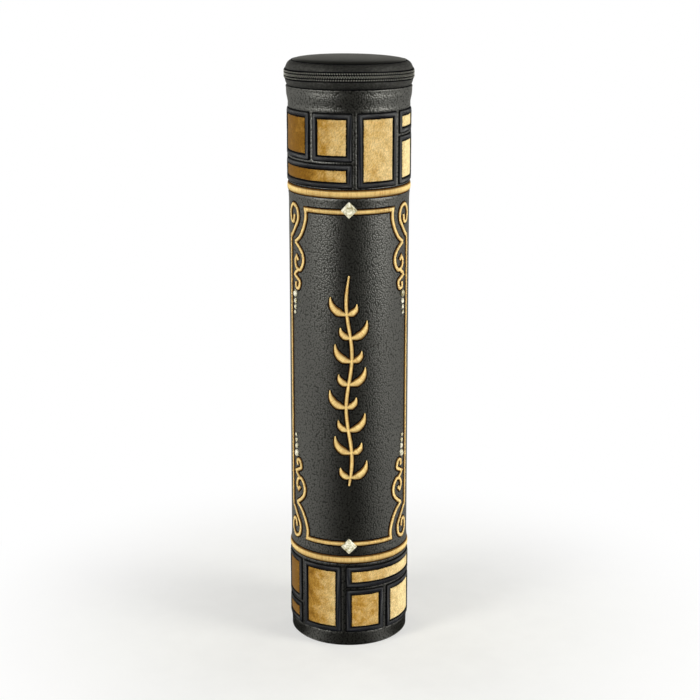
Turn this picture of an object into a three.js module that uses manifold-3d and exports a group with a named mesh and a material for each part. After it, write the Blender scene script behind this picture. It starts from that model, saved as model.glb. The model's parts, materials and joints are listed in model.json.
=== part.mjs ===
// A tall round zip-top case for a rolled scroll: a board tube in embroidered leather, with a
// padded lid on a soft hinge and a coil zip round its mouth.
// Millimetres, +Z up, origin at the middle of the base, front towards -Y.
// An azimuth is turned from the front towards +X. A girth place is a length along the leather.
import * as THREE from 'three';
import { mergeVertices } from 'three/addons/utils/BufferGeometryUtils.js';
import Module from 'manifold-3d';

const wasm = await Module();
wasm.setup();

// Walls of the body, from the outside in
const cover_radius = 38.2;
const leather_thickness = 0.9;
const board_wall = 2.0;
const lining_thickness = 0.7;
const glue_line = 0.3;

// Heights of the body, from the floor up
const base_cover_thickness = 0.9;
const base_cover_inset = 1.5;
const turn_in_width = 5.0;
const base_corner_radius = 0.9;
const base_board_thickness = 2.5;
const zip_line_height = 372.1;
const rim_gap = 0.5;

// Leather lip that opens out over the sewn edge of the tape
const lip_drop = 7.6;
const lip_flare = 1.3;
const lip_flare_length = 13.0;
const lip_edge_thickness = 0.4;

// Zip tape, tooth rows and stops
const tape_thickness = 0.65;
const tape_stand_out = 1.8;
const tape_hem = 6.0;
const fold_gap = 0.3;
const row_gap = 0.8;
const row_width = 2.8;
const row_depth = 0.7;
const tooth_pitch = 1.6;
const tooth_length = 1.3;
const tooth_tip_share = 0.42;
const teeth_per_span = 4;
const stop_length = 1.4;
const stop_wall = 0.6;
const stop_clearance = 1.0;
const hinge_half_azimuth = 36;

// Lid
const lid_ring_height = 4.9;
const lid_ring_wall = 2.0;
const lid_ring_step = 0.3;
const lid_board_thickness = 1.7;
const lid_board_inset = 1.6;
const lid_cover_inset = 0.5;
const lid_cover_thickness = 0.7;
const lid_crown = 1.1;
const lid_edge_height = 1.35;
const lid_crease_gap = 0.5;

// Slider and its pull
const slider_azimuth = 130;
const slider_length = 9.2;
const slider_height = 8.4;
const slider_plate = 0.9;
const slider_waist_share = 0.78;
const slider_shoulder_share = 0.05;
const slider_run_clearance = 0.3;
const slider_flange = 0.6;
const inner_plate_clearance = 0.5;
const inner_plate_length = 8.4;
const inner_plate_height = 6.4;
const blade_length = 3.2;
const blade_thickness = 0.3;
const crown_length = 7.4;
const crown_width = 2.0;
const crown_bar = 0.8;
const pull_pin = 1.2;
const pull_pin_clearance = 0.3;
const pull_length = 16.0;
const pull_width = 4.8;
const pull_arm = 0.8;
const pull_eye_length = 5.1;
const pull_thickness_share = 0.9;
const pull_hole = 1.6;
const pull_hole_share = 0.82;

// Gold bands round the body
const band_width = 4.7;
const band_bevel = 0.8;
const band_proud = 0.5;
const lower_band_gap = 2.8;
const upper_band_gap = 1.6;

// Suede panels in their raised borders
const stitch_seat = 0.2;
const panel_border = 3.5;
const panel_crest = 0.65;
const panel_inset_proud = 0.3;
const panel_band_height = 45.3;
const panel_lip_gap = 1.2;
const lower_panels_height = 10.6;
const panel_gap = 2.8;
const panel_wide_gap = 3.6;
const panel_row_gap = 2.0;

// Scroll frames, side lines, stones and the leaf stem
const line_width = 2.9;
const scroll_line_width = 2.4;
const thread_crest = 0.55;
const thread_under_stone = 0.2;
const frame_margin = 7.25;
const frame_half_width = 30.2;
const scroll_width = 12.0;
const scroll_height = 54.0;
const side_line_place = 46.8;
const side_scroll_width = 10.0;
const side_scroll_height = 20.0;
const stone_half_width = 5.0;
const stone_half_height = 5.2;
const stone_thickness = 1.3;
const stone_bevel = 1.0;
const stem_height = 138;
const stem_sway = 1.8;
const stem_waves = 2;
const leaf_reach = 10.5;
const leaf_rise = 11.0;
const leaf_half_width = 2.6;
const leaf_far_share = 0.6;

// Facets
const ring_steps = 40;
const sector_step = 9;
const panel_step = 11;
const curve_step = 3.4;
const frame_spans = 12;
const stem_steps = 12;
const pin_facets = 8;

// Radii and heights that follow from the sizes above
const tube_radius = cover_radius - leather_thickness - glue_line;
const tube_bore = tube_radius - board_wall;
const lining_radius = tube_bore - glue_line;
const lining_bore = lining_radius - lining_thickness;
const turn_in_height = base_cover_thickness + glue_line;
const tube_foot = turn_in_height + leather_thickness + glue_line;
const floor_height = tube_foot + base_board_thickness + glue_line;
const tube_rim = zip_line_height - rim_gap;
const lip_height = zip_line_height - lip_drop;
const flare_start = lip_height - lip_flare_length;
const tape_radius = cover_radius + tape_stand_out;
const tape_middle = tape_radius - tape_thickness / 2;
const lower_tape_edge = zip_line_height - row_gap / 2;
const upper_tape_edge = zip_line_height + row_gap / 2;
const row_radius = tape_radius + glue_line;
const lid_ring_radius = tube_radius + lid_ring_step;
const lid_board_radius = lid_ring_radius - lid_board_inset;
const lid_cover_radius = lid_board_radius - lid_cover_inset;
const lid_ring_foot = zip_line_height + fold_gap;
const lid_ring_top = lid_ring_foot + lid_ring_height;
const lid_board_foot = lid_ring_top + glue_line;
const lid_board_top = lid_board_foot + lid_board_thickness;
const lid_edge = lid_board_top + lid_edge_height;
const lid_top = lid_edge + lid_crown + lid_cover_thickness / 2;
const stitch_radius = cover_radius + stitch_seat;
const half_girth = Math.PI * cover_radius;
const upper_panels_height = flare_start - panel_lip_gap - panel_band_height;
const upper_band_height = upper_panels_height - upper_band_gap - band_width;
const lower_band_height = lower_panels_height + panel_band_height + lower_band_gap;
const frame_centre_height = (lower_band_height + band_width + upper_band_height) / 2;
const frame_height = upper_band_height - lower_band_height - band_width - 2 * frame_margin;

// Azimuths that follow: the tape runs from one end of the hinge strip to the other, and the
// teeth and the stops leave room for the slider where it rests
function azimuthOf(arc, radius) {
  return THREE.MathUtils.radToDeg(arc / radius);
}

const tape_end_azimuth = 180 - hinge_half_azimuth - azimuthOf(glue_line, tape_radius);
const row_end_azimuth = slider_azimuth - azimuthOf(slider_length / 2 + stop_clearance, row_radius);
const stop_start_azimuth = slider_azimuth + azimuthOf(slider_length / 2 + stop_clearance, row_radius);

const leather = { color: 0x2b2b27, roughness: 0.55, metalness: 0 };
const board = { color: 0x8f7f63, roughness: 0.9, metalness: 0 };
const lining = { color: 0x1f1d22, roughness: 0.95, metalness: 0 };
const webbing = { color: 0x1d1d1b, roughness: 0.9, metalness: 0 };
const coil = { color: 0x4a4a46, roughness: 0.4, metalness: 0 };
const gold_thread = { color: 0xc79b52, roughness: 0.45, metalness: 0.15 };
const suede = { color: 0xb08a45, roughness: 0.95, metalness: 0 };
const foam = { color: 0xd8d4c4, roughness: 1, metalness: 0 };
const dark_metal = { color: 0x3c3c3c, roughness: 0.35, metalness: 0.9 };
const pearl = { color: 0xe9e4d2, roughness: 0.25, metalness: 0 };

const part = new THREE.Group();

function add(name, geometry, finish, parent = part) {
  const mesh = new THREE.Mesh(geometry, new THREE.MeshStandardMaterial(finish));
  mesh.name = name;
  parent.add(mesh);
  return mesh;
}

// A closed mesh from rows of points and triangles
function meshOf(points, triangles) {
  const geometry = new THREE.BufferGeometry();
  geometry.setAttribute('position', new THREE.Float32BufferAttribute(points.flat(), 3));
  geometry.setIndex(triangles.flat());
  return geometry;
}

// A point at a girth place, a height and a radius
function onGirth(girth, height, radius) {
  const turn = girth / cover_radius;
  return [radius * Math.sin(turn), -radius * Math.cos(turn), height];
}

// A full turn of a closed outline of [radius, height] points
function revolve(outline) {
  const points = outline.map(([radius, height]) => new THREE.Vector2(radius, height));
  const onAxis = outline[0][0] === 0 && outline.at(-1)[0] === 0;
  if (!onAxis) {
    points.push(points[0].clone());
  }
  return new THREE.LatheGeometry(points, ring_steps).rotateX(Math.PI / 2);
}

// A part turn of a closed outline, with its two ends closed
function sector(outline, from, to, step = sector_step) {
  const turns = Math.max(1, Math.round((to - from) / step));
  const size = outline.length;
  const points = [];
  const triangles = [];
  for (let turn = 0; turn <= turns; turn += 1) {
    const azimuth = THREE.MathUtils.degToRad(from + (to - from) * turn / turns);
    for (const [radius, height] of outline) {
      points.push([radius * Math.sin(azimuth), -radius * Math.cos(azimuth), height]);
    }
  }
  for (let turn = 0; turn < turns; turn += 1) {
    for (let side = 0; side < size; side += 1) {
      const here = turn * size + side;
      const next = turn * size + (side + 1) % size;
      triangles.push([here, here + size, next + size], [here, next + size, next]);
    }
  }
  const flat = outline.map(([radius, height]) => new THREE.Vector2(radius, height));
  for (const [a, b, c] of THREE.ShapeUtils.triangulateShape(flat, [])) {
    const last = turns * size;
    triangles.push([a, b, c], [last + a, last + c, last + b]);
  }
  return meshOf(points, triangles);
}

// The outline of a sheet that follows a line of [radius, height, thickness] points
function sheet(line) {
  const right = [];
  const left = [];
  line.forEach(([radius, height, thickness], place) => {
    const [r0, z0] = line[Math.max(place - 1, 0)];
    const [r1, z1] = line[Math.min(place + 1, line.length - 1)];
    const length = Math.hypot(r1 - r0, z1 - z0);
    const out = (z1 - z0) / length * thickness / 2;
    const up = -(r1 - r0) / length * thickness / 2;
    right.push([radius + out, height + up]);
    left.push([radius - out, height - up]);
  });
  return right.concat(left.reverse());
}

function solid(geometry) {
  const bare = geometry.clone();
  bare.deleteAttribute('normal');
  bare.deleteAttribute('uv');
  const merged = mergeVertices(bare);
  return new wasm.Manifold(new wasm.Mesh({
    numProp: 3,
    vertProperties: new Float32Array(merged.attributes.position.array),
    triVerts: new Uint32Array(merged.index.array),
  }));
}

function geometryOf(manifold) {
  const mesh = manifold.getMesh();
  const geometry = new THREE.BufferGeometry();
  geometry.setAttribute('position', new THREE.BufferAttribute(mesh.vertProperties, 3));
  geometry.setIndex(new THREE.BufferAttribute(mesh.triVerts, 1));
  return geometry;
}

function join(geometries) {
  return geometryOf(geometries.map(solid).reduce((whole, piece) => whole.add(piece)));
}

function block(from, to) {
  const size = to.map((value, axis) => value - from[axis]);
  const middle = to.map((value, axis) => (value + from[axis]) / 2);
  return new THREE.BoxGeometry(...size).translate(...middle);
}

// Board tube, base and linings
add('board_tube', revolve([
  [tube_bore, tube_foot],
  [tube_radius, tube_foot],
  [tube_radius, tube_rim],
  [tube_bore, tube_rim],
]), board);

function disc(radius, foot, thickness) {
  return revolve([[0, foot], [radius, foot], [radius, foot + thickness], [0, foot + thickness]]);
}

add('base_board', disc(tube_bore - glue_line, tube_foot, base_board_thickness), board);
add('tube_lining', revolve([
  [lining_bore, floor_height],
  [lining_radius, floor_height],
  [lining_radius, tube_rim],
  [lining_bore, tube_rim],
]), lining);
add('floor_lining', disc(lining_bore - glue_line, floor_height, lining_thickness), lining);

// Leather sleeve: turned in under the tube, straight up the wall, opened out at the lip
const leather_middle = cover_radius - leather_thickness / 2;
const turn_in_middle = turn_in_height + leather_thickness / 2;
const flare_shares = [[0.35, 0.3], [0.97, 0.66]];
add('leather_cover', revolve(sheet([
  [cover_radius - turn_in_width, turn_in_middle, leather_thickness],
  [leather_middle - base_corner_radius, turn_in_middle, leather_thickness],
  [leather_middle, turn_in_middle + base_corner_radius, leather_thickness],
  [leather_middle, flare_start, leather_thickness],
  ...flare_shares.map(([out, up]) => [
    leather_middle + lip_flare * out,
    flare_start + lip_flare_length * up,
    leather_thickness,
  ]),
  [leather_middle + lip_flare, lip_height - leather_thickness, leather_thickness],
  [leather_middle + lip_flare, lip_height, lip_edge_thickness],
])), leather);
add('base_cover', disc(cover_radius - base_cover_inset, 0, base_cover_thickness), leather);

// Zip tapes, and the leather hinge strips that take their place at the back.
// Each is one sheet: a hem under the leather, a bulge, then a straight edge at the teeth.
const hem_middle = tube_radius + glue_line + tape_thickness / 2;
const hem_foot = lip_height - tape_hem;
const bulge_shares = [[0.53, 0.17], [0.83, 0.49], [1, 0.82]];
const draw_shares = [[0, 0.34], [0.23, 0.55], [0.53, 0.76], [0.8, 0.93], [1, 1]];

function lowerStrip(edge) {
  const bulge = tape_middle - hem_middle;
  const rise = lower_tape_edge - row_width - lip_height;
  return sheet([
    [hem_middle, hem_foot, tape_thickness],
    [hem_middle, lip_height - leather_thickness, tape_thickness],
    ...bulge_shares.map(([out, up]) => [hem_middle + bulge * out, lip_height + rise * up, tape_thickness]),
    [tape_middle, edge, tape_thickness],
  ]);
}

const crease_radius = lid_cover_radius + lid_crease_gap;

function upperStrip(edge) {
  const draw = tape_middle - crease_radius;
  const rise = lid_edge - upper_tape_edge - tape_thickness / 2;
  return sheet([
    [tape_middle, edge, tape_thickness],
    ...draw_shares.map(([inwards, up]) => [
      tape_middle - draw * inwards,
      upper_tape_edge + rise * up,
      tape_thickness,
    ]),
  ]);
}

add('lower_zip_tape', sector(lowerStrip(lower_tape_edge), -tape_end_azimuth, tape_end_azimuth), webbing);
add('upper_zip_tape', sector(upperStrip(upper_tape_edge), -tape_end_azimuth, tape_end_azimuth), webbing);
add('hinge_strip_lower', sector(
  lowerStrip(zip_line_height - fold_gap / 2),
  180 - hinge_half_azimuth,
  180 + hinge_half_azimuth,
), leather);
add('hinge_strip_upper', sector(
  upperStrip(zip_line_height + fold_gap / 2),
  180 - hinge_half_azimuth,
  180 + hinge_half_azimuth,
), leather);

// One row of zip teeth: a comb whose spine is sewn to the tape and whose teeth face the zip line.
// The comb stands on its spine and points up (side = 1) or down (side = -1).
function toothRow(side) {
  const arc = THREE.MathUtils.degToRad(2 * row_end_azimuth) * row_radius;
  const spans = Math.round(arc / tooth_pitch / teeth_per_span);
  const teeth = spans * teeth_per_span;
  const edge = [[0, row_width - tooth_length]];
  for (let tooth = 0; tooth < teeth; tooth += 1) {
    edge.push([tooth + 0.5 - tooth_tip_share / 2, row_width]);
    edge.push([tooth + 0.5 + tooth_tip_share / 2, row_width]);
    edge.push([tooth + 1, row_width - tooth_length]);
  }
  const spine = Array.from({ length: spans + 1 }, (_, span) => [span * teeth_per_span, 0]);
  const foot = zip_line_height - side * (row_gap / 2 + row_width);
  const points = [row_radius, row_radius + row_depth].flatMap((radius) => edge.concat(spine).map(
    ([place, rise]) => {
      const azimuth = THREE.MathUtils.degToRad(row_end_azimuth) * (2 * place / teeth - 1);
      return [radius * Math.sin(azimuth), -radius * Math.cos(azimuth), foot + side * rise];
    },
  ));
  const count = edge.length + spine.length;
  const perSpan = 3 * teeth_per_span;
  const outline = [spine[0], spine[1], ...edge.slice(0, perSpan + 1).toReversed()];
  const faces = THREE.ShapeUtils.triangulateShape(outline.map((point) => new THREE.Vector2(...point)), []);
  const triangles = [];
  const wall = (a, b) => {
    triangles.push([a, b, b + count], [a, b + count, a + count]);
  };
  for (let span = 0; span < spans; span += 1) {
    const low = edge.length + span;
    const first = span * perSpan;
    const at = (corner) => (corner < 2 ? low + corner : first + perSpan + 2 - corner);
    for (const [a, b, c] of faces) {
      triangles.push([at(a) + count, at(b) + count, at(c) + count], [at(a), at(c), at(b)]);
    }
    for (let place = first; place < first + perSpan; place += 1) {
      wall(place + 1, place);
    }
    wall(low, low + 1);
  }
  wall(0, edge.length);
  wall(count - 1, edge.length - 1);
  if (side < 0) {
    triangles.forEach((triangle) => triangle.reverse());
  }
  return meshOf(points, triangles);
}

add('lower_tooth_row', toothRow(1), coil);
add('upper_tooth_row', toothRow(-1), coil);

// Metal stops folded over the edge of the lower tape, past each end of the slider's run
function stop(from, to) {
  const outside = tape_radius + glue_line;
  const inside = tape_radius - tape_thickness - glue_line;
  const crest = lower_tape_edge + blade_thickness / 2;
  const shoulder = lower_tape_edge + blade_thickness / 4;
  const foot = lower_tape_edge - row_width;
  return sector([
    [inside - stop_wall, foot],
    [inside, foot],
    [inside, shoulder],
    [outside, shoulder],
    [outside, foot],
    [outside + stop_wall, foot],
    [outside + stop_wall, crest],
    [inside - stop_wall, crest],
  ], from, to);
}

const stop_azimuth = azimuthOf(stop_length, tape_radius);
add('closed_end_stop', stop(stop_start_azimuth, stop_start_azimuth + stop_azimuth), dark_metal);
add('open_end_stop', stop(-stop_start_azimuth - stop_azimuth, -stop_start_azimuth), dark_metal);

// Lid: a board band and a board disc under a thin pad and a crowned leather top
add('lid_ring', revolve([
  [lid_ring_radius - lid_ring_wall, lid_ring_foot],
  [lid_ring_radius, lid_ring_foot],
  [lid_ring_radius, lid_ring_top],
  [lid_ring_radius - lid_ring_wall, lid_ring_top],
]), board);
add('lid_board', disc(lid_board_radius, lid_board_foot, lid_board_thickness), board);
add('lid_lining', disc(
  lid_ring_radius - lid_ring_wall - glue_line,
  lid_ring_top - lining_thickness,
  lining_thickness,
), lining);

const crown_shares = [[0.97, 0.14], [0.62, 0.76]];
const cover_foot = lid_board_top + glue_line;
const cover_inside = lid_cover_radius - lid_cover_thickness;
const crown_rise = lid_crown + lid_cover_thickness / 2;

function crownLine(radius, edge) {
  return crown_shares.map(([out, up]) => [radius * out, edge + crown_rise * up]);
}

add('lid_cover', revolve([
  [0, lid_top - lid_cover_thickness],
  ...crownLine(cover_inside, lid_edge - lid_cover_thickness).toReversed(),
  [cover_inside, cover_foot],
  [lid_cover_radius, cover_foot],
  [lid_cover_radius, lid_edge - lid_cover_thickness / 2],
  ...crownLine(lid_cover_radius, lid_edge),
  [0, lid_top],
]), leather);

const pad_radius = cover_inside - glue_line;
const pad_edge = lid_edge - lid_cover_thickness - glue_line;
add('lid_pad', revolve([
  [0, cover_foot],
  [pad_radius, cover_foot],
  ...crownLine(pad_radius, pad_edge),
  [0, lid_top - lid_cover_thickness - glue_line],
]), foam);

// Slider: drawn at the front of the zip, then turned to where it rests
const run_radius = row_radius + row_depth + slider_run_clearance;
const plate_radius = run_radius + slider_plate;
const pin_radius = plate_radius + pull_pin_clearance + pull_pin / 2;
const crown_inside = pin_radius + pull_pin / 2 + pull_pin_clearance;
const inner_plate_radius = lid_ring_radius + inner_plate_clearance;
const slider_seat = new THREE.Group();
slider_seat.rotation.z = THREE.MathUtils.degToRad(slider_azimuth);
part.add(slider_seat);

// A flat plate with its thickness along the radius, drawn in girth and height
function plate(length, height, waist, inside, thickness) {
  const outline = new THREE.Shape();
  outline.moveTo(length / 2, height / 2);
  outline.lineTo(length * slider_shoulder_share, height / 2);
  outline.lineTo(-length / 2, height * waist / 2);
  outline.lineTo(-length / 2, -height * waist / 2);
  outline.lineTo(length * slider_shoulder_share, -height / 2);
  outline.lineTo(length / 2, -height / 2);
  return new THREE.ExtrudeGeometry(outline, { depth: thickness, bevelEnabled: false })
    .rotateX(Math.PI / 2)
    .translate(0, -inside, zip_line_height);
}

// A block between two radii outside the slider's plate, in girth and height
function lug(girth, height, inside, outside) {
  return block(
    [Math.min(...girth), -outside, zip_line_height + Math.min(...height)],
    [Math.max(...girth), -inside, zip_line_height + Math.max(...height)],
  );
}

function sliderGeometry() {
  const plate_middle = run_radius + slider_plate / 2;
  const half = slider_height / 2;
  const crown_half = crown_length / 2;
  const crown_heights = [-crown_width / 2, crown_width / 2];
  const blade = lug(
    [-blade_length / 2, blade_length / 2],
    [-blade_thickness / 2, blade_thickness / 2],
    inner_plate_radius + slider_plate / 2,
    plate_middle,
  );
  const flanges = [-1, 1].map((side) => lug(
    [0, slider_length / 2],
    [side * half, side * (half - slider_flange)],
    tape_radius + slider_run_clearance * 2,
    plate_middle,
  ));
  const legs = [-1, 1].map((side) => lug(
    [side * crown_half, side * (crown_half - crown_bar)],
    crown_heights,
    plate_middle,
    crown_inside + crown_bar / 2,
  ));
  const bar = lug([-crown_half, crown_half], crown_heights, crown_inside, crown_inside + crown_bar);
  return join([
    plate(slider_length, slider_height, slider_waist_share, run_radius, slider_plate),
    plate(inner_plate_length, inner_plate_height, slider_waist_share, inner_plate_radius, slider_plate),
    blade,
    ...flanges,
    ...legs,
    bar,
  ]);
}

add('zip_slider', sliderGeometry(), dark_metal, slider_seat);

// Pull: a cross pin under the slider's crown, two arms past it and a tapered tab
const pull_outline_shares = [[0, 1], [0.5, 0.82], [0.9, 1], [1, 0.55]];

// A shape in girth and height, cut or drawn to a thickness about the pull's pin
function acrossPin(shape, thickness) {
  return new THREE.ExtrudeGeometry(shape, { depth: thickness, bevelEnabled: false })
    .rotateX(Math.PI / 2)
    .translate(0, -pin_radius + thickness / 2, zip_line_height);
}

function pullGeometry() {
  const half = pull_width / 2;
  const pin = new THREE.CylinderGeometry(pull_pin / 2, pull_pin / 2, pull_width - pull_arm, pin_facets)
    .rotateX(Math.PI / 2)
    .translate(0, -pin_radius, zip_line_height);
  const upper = pull_outline_shares.map(([along, up]) => new THREE.Vector2(pull_length * along, half * up));
  const lower = upper.map((point) => new THREE.Vector2(point.x, -point.y));
  const eye = new THREE.Shape([
    new THREE.Vector2(-pull_pin, pull_arm - half),
    new THREE.Vector2(pull_eye_length, pull_arm - half),
    new THREE.Vector2(pull_eye_length, half - pull_arm),
    new THREE.Vector2(-pull_pin, half - pull_arm),
  ]);
  const hole = new THREE.CylinderGeometry(pull_hole / 2, pull_hole / 2, pull_width, pin_facets)
    .translate(pull_length * pull_hole_share, -pin_radius, zip_line_height);
  const tab = acrossPin(new THREE.Shape([...lower, ...upper.toReversed()]), pull_pin * pull_thickness_share);
  const window = acrossPin(eye, pull_width);
  return geometryOf(solid(tab).subtract(solid(hole)).subtract(solid(window)).add(solid(pin)));
}

add('zip_pull', pullGeometry(), dark_metal, slider_seat);

// Gold bands
function goldBand(height) {
  const crest = stitch_radius + band_proud;
  return revolve([
    [stitch_radius, height],
    [crest, height + band_bevel],
    [crest, height + band_width - band_bevel],
    [stitch_radius, height + band_width],
  ]);
}

add('lower_gold_band', goldBand(lower_band_height), gold_thread);
add('upper_gold_band', goldBand(upper_band_height), gold_thread);

// One suede panel: a rounded stitched border round a lower field, in girth and height
function panel(left, right, low, high) {
  const radii = [stitch_radius, stitch_radius + panel_crest, stitch_radius + panel_inset_proud];
  const steps = Math.max(1, Math.ceil(
    THREE.MathUtils.radToDeg((right - left - 2 * panel_border) / cover_radius) / panel_step,
  ));
  const columns = [[left, 0], [left + panel_border / 2, 1]];
  for (let step = 0; step <= steps; step += 1) {
    columns.push([left + panel_border + (right - left - 2 * panel_border) * step / steps, 2]);
  }
  columns.push([right - panel_border / 2, 1], [right, 0]);
  const rows = [
    [low, 0],
    [low + panel_border / 2, 1],
    [low + panel_border, 2],
    [high - panel_border, 2],
    [high - panel_border / 2, 1],
    [high, 0],
  ];
  const points = columns.flatMap(([girth, across]) => rows.map(
    ([height, up]) => onGirth(girth, height, radii[Math.min(across, up)]),
  ));
  const last = columns.length - 1;
  const at = (column, row) => column * rows.length + row;
  const triangles = [];
  for (let column = 0; column < last; column += 1) {
    for (let row = 0; row < rows.length - 1; row += 1) {
      const [a, b] = [at(column, row), at(column + 1, row)];
      triangles.push([a, b, b + 1], [a, b + 1, a + 1]);
    }
  }
  const top = rows.length - 1;
  for (let column = 1; column < last - 1; column += 1) {
    triangles.push([at(column, 0), at(column, top), at(column + 1, top)]);
    triangles.push([at(column, 0), at(column + 1, top), at(column + 1, 0)]);
  }
  for (let row = 0; row < top; row += 1) {
    triangles.push([at(1, 0), at(0, row), at(0, row + 1)]);
    triangles.push([at(last - 1, 0), at(last, row + 1), at(last, row)]);
  }
  triangles.push([at(1, 0), at(0, top), at(1, top)]);
  triangles.push([at(last - 1, 0), at(last - 1, top), at(last, top)]);
  return meshOf(points, triangles);
}

// Six panels fill half the girth, in four columns, three of them cut across.
const column_shares = [0.298, 0.235, 0.2545, 0.2125];
const column_gaps = [panel_gap, panel_wide_gap, panel_gap, panel_gap];
const low_row_share = 0.328;
const short_row_share = 0.684;

function panelCells() {
  const cloth = half_girth - column_gaps.reduce((sum, gap) => sum + gap, 0);
  const edges = [];
  let place = -half_girth / 2 + panel_gap / 2;
  column_shares.forEach((share, column) => {
    edges.push([place, place + cloth * share]);
    place += cloth * share + column_gaps[column];
  });
  const cut = (share) => (panel_band_height - panel_row_gap) * share;
  const low = cut(low_row_share);
  const short = cut(short_row_share);
  return [
    [edges[0][0], edges[0][1], low + panel_row_gap, panel_band_height],
    [edges[1][0], edges[1][1], low + panel_row_gap, panel_band_height],
    [edges[0][0], edges[1][1], 0, low],
    [edges[2][0], edges[2][1], 0, panel_band_height],
    [edges[3][0], edges[3][1], short + panel_row_gap, panel_band_height],
    [edges[3][0], edges[3][1], 0, short],
  ];
}

const sides = [['front', 0], ['back', half_girth]];
for (const [side, shift] of sides) {
  panelCells().forEach(([left, right, low, high], place) => {
    add(`upper_${side}_panel_${place + 1}`, panel(
      shift + left,
      shift + right,
      upper_panels_height + low,
      upper_panels_height + high,
    ), suede);
    add(`lower_${side}_panel_${place + 1}`, panel(
      shift - right,
      shift - left,
      lower_panels_height + panel_band_height - high,
      lower_panels_height + panel_band_height - low,
    ), suede);
  });
}

// A raised stitched line along girth and height points. Its width and its crest are one value,
// or one for each point. A corner is widened to keep the line's width, up to a limit.
const mitre_share = 0.6;

function stitchedLine(path, width, crest = thread_crest) {
  const points = [];
  const triangles = [];
  path.forEach(([girth, height], place) => {
    const before = path[Math.max(place - 1, 0)];
    const after = path[Math.min(place + 1, path.length - 1)];
    const into = new THREE.Vector2(girth - before[0], height - before[1]).normalize();
    const out = new THREE.Vector2(after[0] - girth, after[1] - height).normalize();
    if (into.lengthSq() === 0) {
      into.copy(out);
    }
    if (out.lengthSq() === 0) {
      out.copy(into);
    }
    const along = into.clone().add(out).normalize();
    const stretch = 1 / Math.max(along.dot(into), mitre_share);
    const half = (Array.isArray(width) ? width[place] : width) / 2 * stretch;
    const high = Array.isArray(crest) ? crest[place] : crest;
    points.push(onGirth(girth - along.y * half, height + along.x * half, stitch_radius));
    points.push(onGirth(girth + along.y * half, height - along.x * half, stitch_radius));
    points.push(onGirth(girth, height, stitch_radius + high));
  });
  for (let place = 0; place < path.length - 1; place += 1) {
    for (const [from, to] of [[0, 1], [1, 2], [2, 0]]) {
      const a = 3 * place + from;
      const b = 3 * place + to;
      triangles.push([a, b + 3, b], [a, a + 3, b + 3]);
    }
  }
  const end = 3 * (path.length - 1);
  triangles.push([0, 1, 2], [end, end + 2, end + 1]);
  return meshOf(points, triangles);
}

// Points along a smooth curve through the given ones
function smooth(path) {
  const curve = new THREE.SplineCurve(path.map(([girth, height]) => new THREE.Vector2(girth, height)));
  const steps = Math.ceil(curve.getLength() / curve_step);
  return curve.getPoints(steps).map((point) => [point.x, point.y]);
}

// Shares of the scroll's width and height, outwards and down from the frame's corner
const shoulder_shares = [[-0.02, 0], [-0.05, 0.1], [0.12, 0.225], [0.42, 0.335], [0.87, 0.41]];
const scroll_shares = [[0.87, 0.41], [0.47, 0.47], [0.2, 0.545], [0.17, 0.64], [0.42, 0.728],
  [0.74, 0.715], [0.88, 0.645], [0.74, 0.58], [0.58, 0.62]];
const curl_shares = [[0.6, 0.735], [0.96, 0.8], [0.7, 0.835], [0.45, 0.875], [0.58, 0.955],
  [0.82, 0.945], [0.8, 0.885]];
const side_scroll_shares = [[0.16, 1], [0.62, 0.72], [0.98, 0.42], [0.86, 0.1], [0.36, 0],
  [-0.02, 0.22], [0.1, 0.52], [0.44, 0.54], [0.54, 0.32]];

// The frame across one end of a face: its line, and a scroll and a curl on either side.
// side is the face's girth place, and end is 1 at the top and -1 at the bottom.
function scrollFrame(face, end) {
  const edge = frame_centre_height + end * (frame_height - line_width) / 2;
  const place = (mirror) => ([out, down]) => [
    face + mirror * (frame_half_width + out * scroll_width),
    edge - end * down * scroll_height,
  ];
  const shoulder = (mirror) => smooth(shoulder_shares.map(place(mirror)));
  const across = [];
  for (let span = 1; span < frame_spans; span += 1) {
    across.push([face + frame_half_width * (2 * span / frame_spans - 1), edge]);
  }
  const line = [...shoulder(-1).toReversed(), ...across, ...shoulder(1)];
  const crests = line.map(([girth]) => (
    Math.abs(girth - face) < stone_half_width ? thread_under_stone : thread_crest
  ));
  const widths = line.map(([, height]) => (height === edge ? line_width : scroll_line_width));
  const pieces = [stitchedLine(line, widths, crests)];
  for (const mirror of [-1, 1]) {
    for (const shares of [scroll_shares, curl_shares]) {
      pieces.push(stitchedLine(smooth(shares.map(place(mirror))), scroll_line_width));
    }
  }
  return join(pieces);
}

// The upright line beside a face, with a scroll at each end
function sideLine(face, mirror) {
  const pieces = [];
  const ends = [1, -1].map((end) => {
    const edge = frame_centre_height + end * frame_height / 2;
    const path = side_scroll_shares.map(([across, down]) => [
      face + mirror * (side_line_place - across * side_scroll_width),
      edge - end * down * side_scroll_height,
    ]);
    pieces.push(stitchedLine(smooth(path), scroll_line_width));
    return path[0];
  });
  pieces.push(stitchedLine([
    [ends[0][0] + mirror * scroll_line_width / 2, ends[0][1] + scroll_line_width / 2],
    [face + mirror * side_line_place, ends[0][1] - scroll_line_width * 2],
    [face + mirror * side_line_place, ends[1][1] + scroll_line_width * 2],
    [ends[1][0] + mirror * scroll_line_width / 2, ends[1][1] - scroll_line_width / 2],
  ], scroll_line_width));
  return join(pieces);
}

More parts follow.
